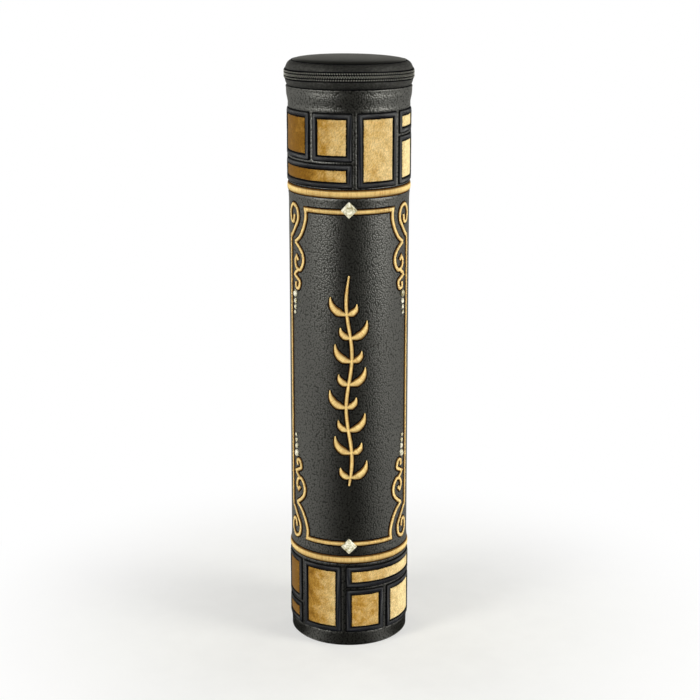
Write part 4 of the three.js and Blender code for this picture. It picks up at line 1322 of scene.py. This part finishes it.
FOLD_HALF = 1.6


class CASE_OT_hinge(bpy.types.Operator):
    """Makes the leather hinge, one strip from under the sleeve's lip to the lid's crease"""

    bl_idname = "case.hinge"
    bl_label = "Leather hinge"

    def execute(self, context):
        lower, upper = lower_strip(ZIP_LINE - FOLD_HALF), upper_strip(ZIP_LINE + FOLD_HALF)
        fold = spline([lower[-1], (TAPE_MIDDLE - 0.06, ZIP_LINE), upper[0]], 0.3)
        loop = sheet_loop(np.concatenate([lower[:-1], fold, upper[1:]]), TAPE_THICK)
        skin = Skin()
        skin.sector(loop, 180 - HINGE_HALF, 180 + HINGE_HALF, 72)
        strip = shown("hinge_leather_strip", skin.mesh("hinge_leather_strip", ["hinge_leather"]))
        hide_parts("hinge_strip_lower", "hinge_strip_upper")
        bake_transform(strip)
        return {"FINISHED"}


ROW_MIDDLE = 40.42
ROW_OFFSET, ROW_HALF = 1.18, 1.16
ROW_SHARE, WIRE_OUT, WIRE_DEPTH = 0.995, 0.28, 0.4
# The cords that sew a row down: how far in from the row's middle, how thick, and how far from the zip's line.
# The filler and the sewing are real; their near black is in part painted shade in the gaps between loops and
# along the rows' outer edges.
ROW_CORDS = ((-0.1, 0.5, ROW_OFFSET), (-0.35, 0.4, ROW_OFFSET + 1.7))
CORD_SIDES = 5


def cord(skin, path, radius):
    """A round cord along a path of points."""
    up = outward(path)
    side = np.cross(unit_steps(path), up)
    turn = np.linspace(0, tau, CORD_SIDES, endpoint=False)[:, None]
    ring = path[:, None] + radius * (np.cos(turn) * side[:, None] + np.sin(turn) * up[:, None])
    numbers = skin.grid(ring, (False, True))
    for end in (0, -1):
        skin.fan(numbers[end], path[end])


class CASE_OT_coil(bpy.types.Operator):
    """Makes the zip's two coil rows, each sewn to its tape, with their loops between each other's"""

    bl_idname = "case.coil"
    bl_label = "Zip coil"

    def execute(self, context):
        pitch = size("coil_pitch")
        sweep = radians(2 * ROW_END) * ROW_SHARE
        loops = round(sweep * (ROW_MIDDLE + WIRE_OUT) / pitch)
        step = sweep / loops
        forward, _, saddle, sunk = sway_at(ZIP_LINE)
        for name, hand, body, phase in (("lower", -1, "case", 0.0), ("upper", 1, "lid", 0.5)):
            start = -sweep / 2 + phase * step
            wire = grown(f"{name}_coil_wire", np.zeros((1, 3)), {}, coil_tree(), {
                "Loops": float(loops - 0.5), "Radius": ROW_MIDDLE * MM, "Depth": WIRE_DEPTH * MM,
                "Start": start, "Sweep": step * (loops - 0.5), "Line": ZIP_LINE * MM,
                "Offset": hand * ROW_OFFSET * MM, "Half Width": hand * ROW_HALF * MM, "Lean": forward * MM,
                "Saddle": saddle * MM, "Sunk": sunk * MM, "Wire Radius": size("coil_wire") * MM,
                "Material": finish("nylon_coil"),
            })
            skin = Skin()
            turn = start + np.arange(loops * 4) / 4 * step
            for lift, radius, height in ROW_CORDS:
                cord(skin, swayed(turned(ROW_MIDDLE + lift, turn, ZIP_LINE + hand * height)), radius)
            sewing = skin.mesh(f"{name}_coil_cord", ["black_satin_core"])
            settle(joined(f"{name}_coil_row", [wire, sewing]), body, "zip_coil", f"{name}_tooth_row")
        return {"FINISHED"}


class CASE_OT_shade_cords(bpy.types.Operator):
    """Lays a black cord in the crevice over the sleeve's lip and one in the lid's crease, as painted shade in
    both
    """

    bl_idname = "case.welts"
    bl_label = "Cords in the crevices"

    def execute(self, context):
        turn = np.linspace(-pi, pi, 240, endpoint=False)
        sides = np.linspace(0, tau, 8, endpoint=False)[:, None]
        for name, radius, height, half, body in (
            ("lip_welt", 38.45, LIP + 0.35, 0.5, "case"),
            ("lid_welt", 36.0, level("lid_cover", 0) + 0.8, 0.3, "lid"),
        ):
            path = swayed(turned(radius, turn, height))
            skin = Skin()
            around = np.cos(sides) * outward(path)[:, None] + np.sin(sides) * np.array([0, 0, 1.0])
            skin.grid(path[:, None] + half * around, (True, True))
            dressed(skin, name, "black_satin_core", body, "zip_tape")
        return {"FINISHED"}


class CASE_OT_hardware(bpy.types.Operator):
    """Rounds and finishes the slider, its pull and the two stops"""

    bl_idname = "case.hardware"
    bl_label = "Slider, pull and stops"

    def execute(self, context):
        for name, body, round_off in (
            ("zip_slider", "zip_slider", 0.22), ("zip_pull", "zip_pull", 0.26),
            ("closed_end_stop", "case", 0.18), ("open_end_stop", "case", 0.18),
        ):
            mesh = bpy.data.meshes.new(f"{name}_metal")
            cleaned(mesh, frame["nodes"][name].data, 0.00001, flatten=True)
            mesh.materials.clear()
            mesh.materials.append(finish("dark_satin_metal"))
            piece = shown(f"{name}_metal", mesh)
            bevel = piece.modifiers.new("Rounded edges", "BEVEL")
            bevel.width, bevel.segments = round_off * MM, 3
            bevel.limit_method, bevel.angle_limit = "ANGLE", radians(35)
            bevel.harden_normals = False
            smoothed(mesh, 50)
            settle(piece, body, "zip_metal", name)
        return {"FINISHED"}


LID_DOME = ((0, 0), (20, 0), (34.0, 0), (35.3, 0.05), (35.8, 0.4), (35.78, 0.75), (35.4, 1.12), (34.6, 1.43),
            (33.2, 1.7), (31, 1.92), (27, 2.08), (20, 2.18), (10, 2.22), (0, 2.22))
PAD_DOME = ((0, 0.02), (33.0, 0.02), (33.6, 0.1), (33.65, 0.2), (33, 0.4), (31, 0.7), (26, 1.1), (18, 1.4),
            (9, 1.52), (0, 1.55))


class CASE_OT_lid(bpy.types.Operator):
    """Makes the lid's padded leather top and the wadding under it"""

    bl_idname = "case.lid"
    bl_label = "Padded lid"

    def execute(self, context):
        foot = level("lid_cover", 0)
        outline, pad_outline = (
            [(radius, foot + rise) for radius, rise in dome] for dome in (LID_DOME, PAD_DOME)
        )
        cover, pad = Skin(), Skin()
        cover.lathe(spline(outline, 0.4), sway=True)
        dressed(cover, "lid_top_leather", "lid_leather", "lid", "cover_leather", "lid_cover", sharp=60)
        pad.lathe(pad_outline, sway=True)
        wadding = dressed(pad, "lid_wadding", "white_wadding", "lid", "foam", "lid_pad")
        return {"FINISHED"}


# Painted light on the suede, dark on the case's left and pale on its right, by how far round to the right a
# point is; and how far single panels differ from that
PAINTED_LIGHT_SHARES = ((-1, 0.0), (-0.77, 0.05), (-0.5, 0.3), (-0.3, 0.5), (0.1, 0.52), (0.47, 0.56), (0.87, 0.84),
              (1, 0.92))
PANEL_LEANS = {"upper_2": 0.02, "upper_3": -0.05, "lower_2": -0.16, "lower_3": -0.05, "lower_4": 0.06}


VALLEY = 0.6
SHADE_REACH = 0.5
SUEDE_STEP = 1.2


def panel_skin(box):
    """One panel: the core of its border, painted shade just round it and under its inner edge, the suede
    inside it, and where its threads go.
    """
    border, crest = size("border_width"), size("border_crest")
    left, right, low, high = box
    valley = border - VALLEY
    outer, inner = ring_pair(box, valley, (0.9, 0.35), (0.02, 0.08))
    skin = Skin()
    core(skin, outer, inner, crest - 0.12, True, 0)
    # Painted shade: a low black ring from just outside the border to under it, seen as a dark line round the
    # panel.
    spread = (left - SHADE_REACH, right + SHADE_REACH, low - SHADE_REACH, high + SHADE_REACH)
    core(skin, *ring_pair(spread, 1.6, (1.1, 0.6), (0.0, 0.1)), 0.12, True, 0)
    shade_inset = valley - SHADE_REACH
    valley_shade_sheet(skin, left + shade_inset, right - shade_inset, low + shade_inset, high - shade_inset)
    left, right, low, high = left + border, right - border, low + border, high - border
    girth = rounded_run(left, right, max(8, round((right - left) / SUEDE_STEP)))[:, None]
    height = rounded_run(low, high, max(6, round((high - low) / SUEDE_STEP)))[None, :]
    rim = np.minimum(np.minimum(girth - left, right - girth), np.minimum(height - low, high - height))
    swell = 0.3 * (1 - np.exp(-rim / 0.35)) + 0.12 * (1 - np.exp(-rim / 2.5))
    swell = swell + 0.03 * ripple(girth, height, 2.6)
    top, under = (skin.grid(wrapped(girth, height, out), slot=1) for out in (0.16 + swell, -0.15))
    rims = np.zeros(skin.count)
    rims[top.ravel()] = rim.ravel()
    skin.wall(top, under, 1)
    return skin, rims, stitches(outer, inner, crest, True)


def rounded_run(start, end, count):
    """Even places from start to end, with two more close to each end for a rounded edge."""
    run = np.linspace(start, end, count + 1)
    return np.concatenate([[start, start + 0.25, start + 0.6], run[1:-1], [end - 0.6, end - 0.25, end]])


def valley_shade_sheet(skin, left, right, low, high):
    """A near-black sheet under a panel: painted shade, seen as a line between its border and its suede."""
    girth = np.linspace(left, right, max(3, round((right - left) / 2.5)))[:, None]
    height = np.linspace(low, high, 3)[None, :]
    skin.wall(*(skin.grid(wrapped(girth, height, out)) for out in (0.14, -0.2)))


class CASE_OT_panels(bpy.types.Operator):
    """Makes the suede panels, each in its border of black satin stitches"""

    bl_idname = "case.panels"
    bl_label = "Suede panels"

    def execute(self, context):
        for number, (name, box) in enumerate(panel_places().items()):
            skin, rims, run = panel_skin(box)
            body = skin.mesh(f"{name}_suede", ["black_satin_core", "brushed_suede"])
            body.attributes.new("rim", "FLOAT", "POINT").data.foreach_set("value", rims.astype(np.float32))
            cleaned(body, merge=0.000001)
            places = np.array([point.co for point in body.vertices])
            turn = np.arctan2(places[:, 0], -places[:, 1])
            # Painted light: each point's share follows how far round to the right it stands, shifted for some
            # panels.
            nap = np.interp(np.sin(turn), *zip(*PAINTED_LIGHT_SHARES)) + PANEL_LEANS.get(f"{name[:5]}_{name[-1]}", 0.0)
            body.attributes.new("nap", "FLOAT", "POINT").data.foreach_set("value", nap.astype(np.float32))
            edging = threads(f"{name}_edging", [run], 40 + number, "black_satin", 0.045)
            settle(joined(f"{name}_suede", [body, edging]), "case", "suede", name)
        return {"FINISHED"}


BAND_SEAT = 0.05


def band_edges(girth, foot):
    """The two edges of a gold band as (girth, height, out) points."""
    heights = (foot + BAND_WIDTH, foot)
    return [np.stack(np.broadcast_arrays(girth, height, BAND_SEAT), 1) for height in heights]


class CASE_OT_bands(bpy.types.Operator):
    """Makes the two gold bands round the case, of upright satin stitches"""

    bl_idname = "case.bands"
    bl_label = "Gold bands"

    def execute(self, context):
        crest = size("band_crest")
        girth = np.linspace(-HALF_GIRTH, HALF_GIRTH, 181)
        for number, (name, foot) in enumerate(BANDS.items()):
            skin = Skin()
            left, right = band_edges(girth[:-1], foot)
            core(skin, left, right, crest - 0.26, True, 0)
            # A black core wider than the band: a painted shadow line along both of its edges.
            core(skin, left + (0, 0.85, -BAND_SEAT), right + (0, -0.85, -BAND_SEAT), 0.26, True, 1)
            body = skin.mesh(name, ["gold_satin_core", "black_satin_core"])
            run = stitches(*band_edges(girth, foot), crest - 0.2, False)
            strands = threads(f"{name}_strands", [run], 90 + number, "gold_satin", 0.03)
            settle(joined(f"{name}_satin", [body, strands]), "case", "gold_thread", name)
        return {"FINISHED"}


class CASE_OT_frames(bpy.types.Operator):
    """Makes the scroll frames and the upright lines beside them, in gold satin stitches"""

    bl_idname = "case.frames"
    bl_label = "Scroll frames and side lines"

    def execute(self, context):
        crest = size("line_crest")
        for number, (face, shift) in enumerate(FACES.items()):
            for hand, word, kind, lines, seed in (
                (1, "top", "scroll", frame_lines, 110), (-1, "bottom", "scroll", frame_lines, 110),
                (-1, "left", "line", side_lines, 150), (1, "right", "line", side_lines, 150),
            ):
                name = f"{face}_{word}_{kind}"
                piece = gold_lines(f"{name}_satin", lines(shift, hand), seed + 10 * number + hand, crest)
                settle(piece, "case", "gold_thread", name)
        return {"FINISHED"}


STONE_HALF = (5.05, 5.2)
STONE_CORNER, STONE_CUT = 7, 0.925
STONE_CROWN, STONE_BACK = 2.14, 0.55
STONE_RINGS = ((0.98, 0.55), (1.0, 0.95), (0.985, 1.35), (0.86, 1.85), (0.8, 1.92), (0.42, 2.08))


class CASE_OT_stem(bpy.types.Operator):
    """Makes the leaf stem up the middle of the front, in gold satin stitches"""

    bl_idname = "case.stem"
    bl_label = "Leaf stem"

    def execute(self, context):
        piece = gold_lines("leaf_stem_satin", stem_lines(), 190, size("line_crest"))
        settle(piece, "case", "gold_thread", "leaf_stem")
        return {"FINISHED"}


class CASE_OT_stones(bpy.types.Operator):
    """Makes the four diamond-shaped pearl stones over the frames' lines"""

    bl_idname = "case.stones"
    bl_label = "Pearl stones"

    def execute(self, context):
        leans = (-STONE_CORNER, 0, STONE_CORNER)
        turns = np.radians([corner + lean for corner in range(0, 360, 90) for lean in leans])
        spread = np.array([STONE_CUT, 1, STONE_CUT] * 4)
        across, up = STONE_HALF[0] * spread * np.cos(turns), STONE_HALF[1] * spread * np.sin(turns)
        for face, shift in FACES.items():
            turn = shift / COVER
            spin = np.array([[cos(turn), sin(turn), 0], [-sin(turn), cos(turn), 0], [0, 0, 1]])
            for end, word in ((1, "top"), (-1, "bottom")):
                middle = (0, 0, frame_edge(end) + end * 1.4)
                rings = [np.stack(np.broadcast_arrays(share * across, -(COVER + out), share * up), -1)
                         for share, out in STONE_RINGS]
                skin = Skin()
                numbers = skin.grid(np.array(rings) @ spin + middle, (False, True))
                for ring, out in ((-1, STONE_CROWN), (0, STONE_BACK)):
                    skin.fan(numbers[ring], np.array([0, -(COVER + out), 0]) @ spin + middle)
                name = f"{face}_{word}_stone"
                dressed(skin, f"{name}_pearl", "pearl_shell", "case", "pearl", name, sharp=14)
        return {"FINISHED"}


# The beads beside one curl, as (girth, height from the frame's middle, width)
BEADS = [(41.0, 53.25, 4.2), (41.0, 48.35, 3.2), (41.2, 44.45, 2.7), (41.7, 40.95, 2.3)]


class CASE_OT_beads(bpy.types.Operator):
    """Sews a run of pearl beads beside each of the frame's curls"""

    bl_idname = "case.beads"
    bl_label = "Pearl beads"

    def execute(self, context):
        places = np.array([
            (shift + hand * girth, FRAME_MIDDLE + end * height, across / 2)
            for shift in FACES.values() for hand in (-1, 1) for end in (-1, 1)
            for girth, height, across in BEADS
        ])
        points = wrapped(places[:, 0], places[:, 1], 0.25)
        out = outward(points)
        across = np.cross(np.array([0, 0, 1.0]), out)
        values = {"out": out, "across": across, "half": places[:, 2] * MM}
        mesh = grown("pearl_beads", points, values, bead_tree(), {
            "Flatness": 0.62, "Material": finish("pearl_shell"),
        })
        settle(shown("pearl_beads", mesh), "case", "pearl")
        return {"FINISHED"}


# Light that mirrored rays find, by how far round from the camera they go
GLOW = ((0.0, 0.005), (0.03, 0.03), (0.14, 0.3), (0.27, 0.56), (0.41, 0.76), (0.6, 0.78), (0.77, 0.6),
        (0.88, 0.5), (1.0, 0.5))


def studio_glow(tree, direction):
    """The soft panels of the studio as glossy surfaces see them: dark behind the camera, brighter above."""
    parts = split(tree, direction)
    flat = maths(tree, "MAXIMUM", flat_reach(tree, parts[0], parts[1]), 0.001)
    around = scaled(tree, maths(tree, "DIVIDE", parts[1], flat), 0.5, 0.5)
    stops = [(share, (light, light * 0.99, light * 0.9, 1)) for share, light in GLOW]
    ring = ramped(tree, around, stops, "EASE")
    below = remap(tree, parts[2], -0.85, -0.4, 0.1, 1.0)
    behind = remap(tree, around, 0.72, 0.95)
    high = remap(tree, parts[2], 0.3, 0.6, 0.0, 1.3)
    higher = scaled(tree, remap(tree, parts[2], -0.24, -0.12), 0.35, high)
    lift = times(tree, higher, less(tree, 1.0, behind))
    crown = remap(tree, parts[2], 0.55, 0.9, 1.0, 0.2)
    lost = times(tree, behind, remap(tree, parts[2], 0.1, 0.36, 0.0, 0.85))
    strength = times(tree, below, plus(tree, lift, 1.0))
    crown = times(tree, crown, less(tree, 1.0, lost))
    strength = times(tree, strength, crown)
    return vectors(tree, "SCALE", ring, strength)


def ray_kinds(tree):
    """Shares of the rays that come by way of a mirror and straight from the camera."""
    path = node(tree, "ShaderNodeLightPath").outputs
    return maths(tree, "MAXIMUM", path["Is Glossy Ray"], path["Is Transmission Ray"]), path["Is Camera Ray"]


CAMERA_PLACE = (0.0006, -1.0989, 0.4927)
CAMERA_PITCH, CAMERA_LENS = 15.31, 90.05
FLOOR_RINGS = (60, 120, 240, 420, 600)
LAMP_TINT = (1.0, 0.99, 0.89)
LAMP_AIM = (0, 0, 0.2)
LAMPS = (
    ("left_softbox", -50, 0.95, 0.3, 1.0, 0.47, 9.5, False),
    ("right_softbox", 65, 0.95, 0.36, 1.0, 0.45, 11.5, False),
    ("left_strip", -47, 0.95, 0.34, 0.8, 0.56, 5.8, True),
    ("right_strip", 62, 0.95, 0.4, 0.8, 0.56, 6.6, True),
    ("back_left_softbox", -140, 1.1, 0.4, 0.7, 0.75, 3, False),
    ("back_right_softbox", 140, 1.1, 0.4, 0.7, 0.75, 3, False),
)


class CASE_OT_stage(bpy.types.Operator):
    """Sets the pale floor, the soft studio light and the camera"""

    bl_idname = "case.stage"
    bl_label = "Stage"

    def execute(self, context):
        scene = context.scene
        camera = bpy.data.objects.new("camera", bpy.data.cameras.new("camera"))
        scene.collection.objects.link(camera)
        camera.location = CAMERA_PLACE
        camera.rotation_euler = (radians(90 - CAMERA_PITCH), 0, 0)
        camera.data.lens, camera.data.sensor_width = CAMERA_LENS, 36
        scene.camera = camera
        scene.view_settings.view_transform = "Standard"
        self.floor()
        self.lamps(scene)
        self.world(scene)
        return {"FINISHED"}

    def floor(self):
        """A matt disc that fades to white, and that mirrored rays see as part of the studio's glow."""
        made = bpy.data.materials.new("pale_floor")
        made.use_nodes = True
        tree = made.node_tree
        tree.nodes.clear()
        place = coordinates(tree)
        away = node(tree, "ShaderNodeVectorMath", {0: place}, operation="LENGTH").outputs["Value"]
        grain = group(tree, mottle_group(), Vector=place, Patch=0.02, Grain=0.002, Mix=0.3)
        tone = blended(tree, grain["Value"], (0.8, 0.8, 0.8, 1), (0.85, 0.85, 0.85, 1))
        solid = node(tree, "ShaderNodeBsdfPrincipled", {"Base Color": tone, "Roughness": 0.9})
        spot = vectors(tree, "NORMALIZE", place)
        # Painted shadow and highlight in what mirrored rays see of the floor: dark right round the foot, and
        # brighter close in front of it.
        ahead = remap(tree, times(tree, split(tree, spot)[1], -1.0), 0.45, 0.85, 0.0, 2.6)
        facing = times(tree, ahead, remap(tree, away, 0.06, 0.15, 1.0, 0.0))
        sunk = vectors(tree, "ADD", spot, vector(tree, 0.0, 0.0, remap(tree, away, 0.8, 2.0, -0.3, -0.1)))
        polish = node(tree, "ShaderNodeEmission", {
            "Color": studio_glow(tree, sunk),
            "Strength": plus(tree, remap(tree, away, 0.05, 0.17, 0.04, 1.0), facing),
        })
        white = node(tree, "ShaderNodeEmission", {"Color": (1, 1, 1, 1), "Strength": 1.0})
        mirrored, straight = ray_kinds(tree)
        lit = node(tree, "ShaderNodeMixShader", {0: mirrored, 1: solid.outputs[0], 2: polish.outputs[0]})
        share = times(tree, remap(tree, away, 0.06, 0.3, 0.5, 1.0), straight)
        both = node(tree, "ShaderNodeMixShader", {0: share, 1: lit.outputs[0], 2: white.outputs[0]})
        node(tree, "ShaderNodeOutputMaterial", {"Surface": both.outputs[0]})
        skin = Skin()
        turn = np.linspace(0, tau, 96, endpoint=False)[:, None]
        numbers = skin.grid(turned(FLOOR_RINGS, turn, 0.0), (True, False))
        skin.fan(numbers[:, 0], (0, 0, 0))
        mesh = bpy.data.meshes.new("studio_floor")
        mesh.from_pydata((np.concatenate(skin.points) * MM).tolist(), [], skin.faces)
        mesh.materials.append(made)
        cleaned(mesh)
        if mesh.polygons[0].normal.z < 0:
            mesh.flip_normals()
        shown("studio_floor", mesh)

    def lamps(self, scene):
        """Soft boxes for matt surfaces and strips for glossy ones, all aimed at the case."""
        for name, azimuth, reach, wide, tall, high, power, sheen in LAMPS:
            data = bpy.data.lights.new(name, "AREA")
            data.shape, data.size, data.size_y, data.energy = "RECTANGLE", wide, tall, power
            data.color = LAMP_TINT
            lamp = bpy.data.objects.new(name, data)
            scene.collection.objects.link(lamp)
            lamp.location = turned(reach, radians(azimuth), high)
            lamp.rotation_euler = (Vector(LAMP_AIM) - lamp.location).to_track_quat("-Z", "Y").to_euler()
            lamp.visible_camera = False
            lamp.visible_glossy = sheen
            lamp.visible_diffuse = not sheen

    def world(self, scene):
        """The glow for mirrored rays, a faint grey for the rest and white behind the case."""
        world = scene.world = bpy.data.worlds.new("studio")
        world.use_nodes = True
        tree = world.node_tree
        tree.nodes.clear()
        glow = studio_glow(tree, coordinates(tree, "Generated"))
        mirrored, straight = ray_kinds(tree)
        faint = blended(tree, mirrored, (0.03, 0.03, 0.03, 1), glow)
        seen = blended(tree, straight, faint, (1, 1, 1, 1))
        sky = node(tree, "ShaderNodeBackground", {"Color": seen})
        node(tree, "ShaderNodeOutputWorld", {"Surface": sky.outputs[0]})

STEPS = (
    "boards", "leather", "linings", "tapes", "hinge", "coil", "welts", "hardware", "lid", "panels", "bands",
    "frames", "stem", "stones", "beads", "stage",
)


class CASE_PT_panel(bpy.types.Panel):
    """Lists the case's sizes, colours and pieces"""

    bl_idname = "CASE_PT_panel"
    bl_label = "Megillah case"
    bl_space_type = "VIEW_3D"
    bl_region_type = "UI"
    bl_category = "Megillah case"

    def draw(self, context):
        for settings in (context.scene.case_sizes, context.scene.case_colours):
            box = self.layout.box()
            for name in settings.__annotations__:
                box.prop(settings, name)
        for step in STEPS:
            self.layout.operator(f"case.{step}")


CLASSES = (
    CaseSizes, CaseColours, CASE_OT_boards, CASE_OT_leather, CASE_OT_linings, CASE_OT_tapes, CASE_OT_hinge,
    CASE_OT_coil, CASE_OT_shade_cords, CASE_OT_hardware, CASE_OT_lid, CASE_OT_panels, CASE_OT_bands, CASE_OT_frames,
    CASE_OT_stem, CASE_OT_stones, CASE_OT_beads, CASE_OT_stage, CASE_PT_panel,
)


def register():
    for known in CLASSES:
        bpy.utils.register_class(known)
    bpy.types.Scene.case_sizes = PointerProperty(type=CaseSizes)
    bpy.types.Scene.case_colours = PointerProperty(type=CaseColours)


def unregister():
    del bpy.types.Scene.case_colours
    del bpy.types.Scene.case_sizes
    for known in reversed(CLASSES):
        bpy.utils.unregister_class(known)


def main():
    register()
    for step in STEPS:
        getattr(bpy.ops.case, step)()
    bpy.context.view_layer.update()


if __name__ == "__main__":
    main()
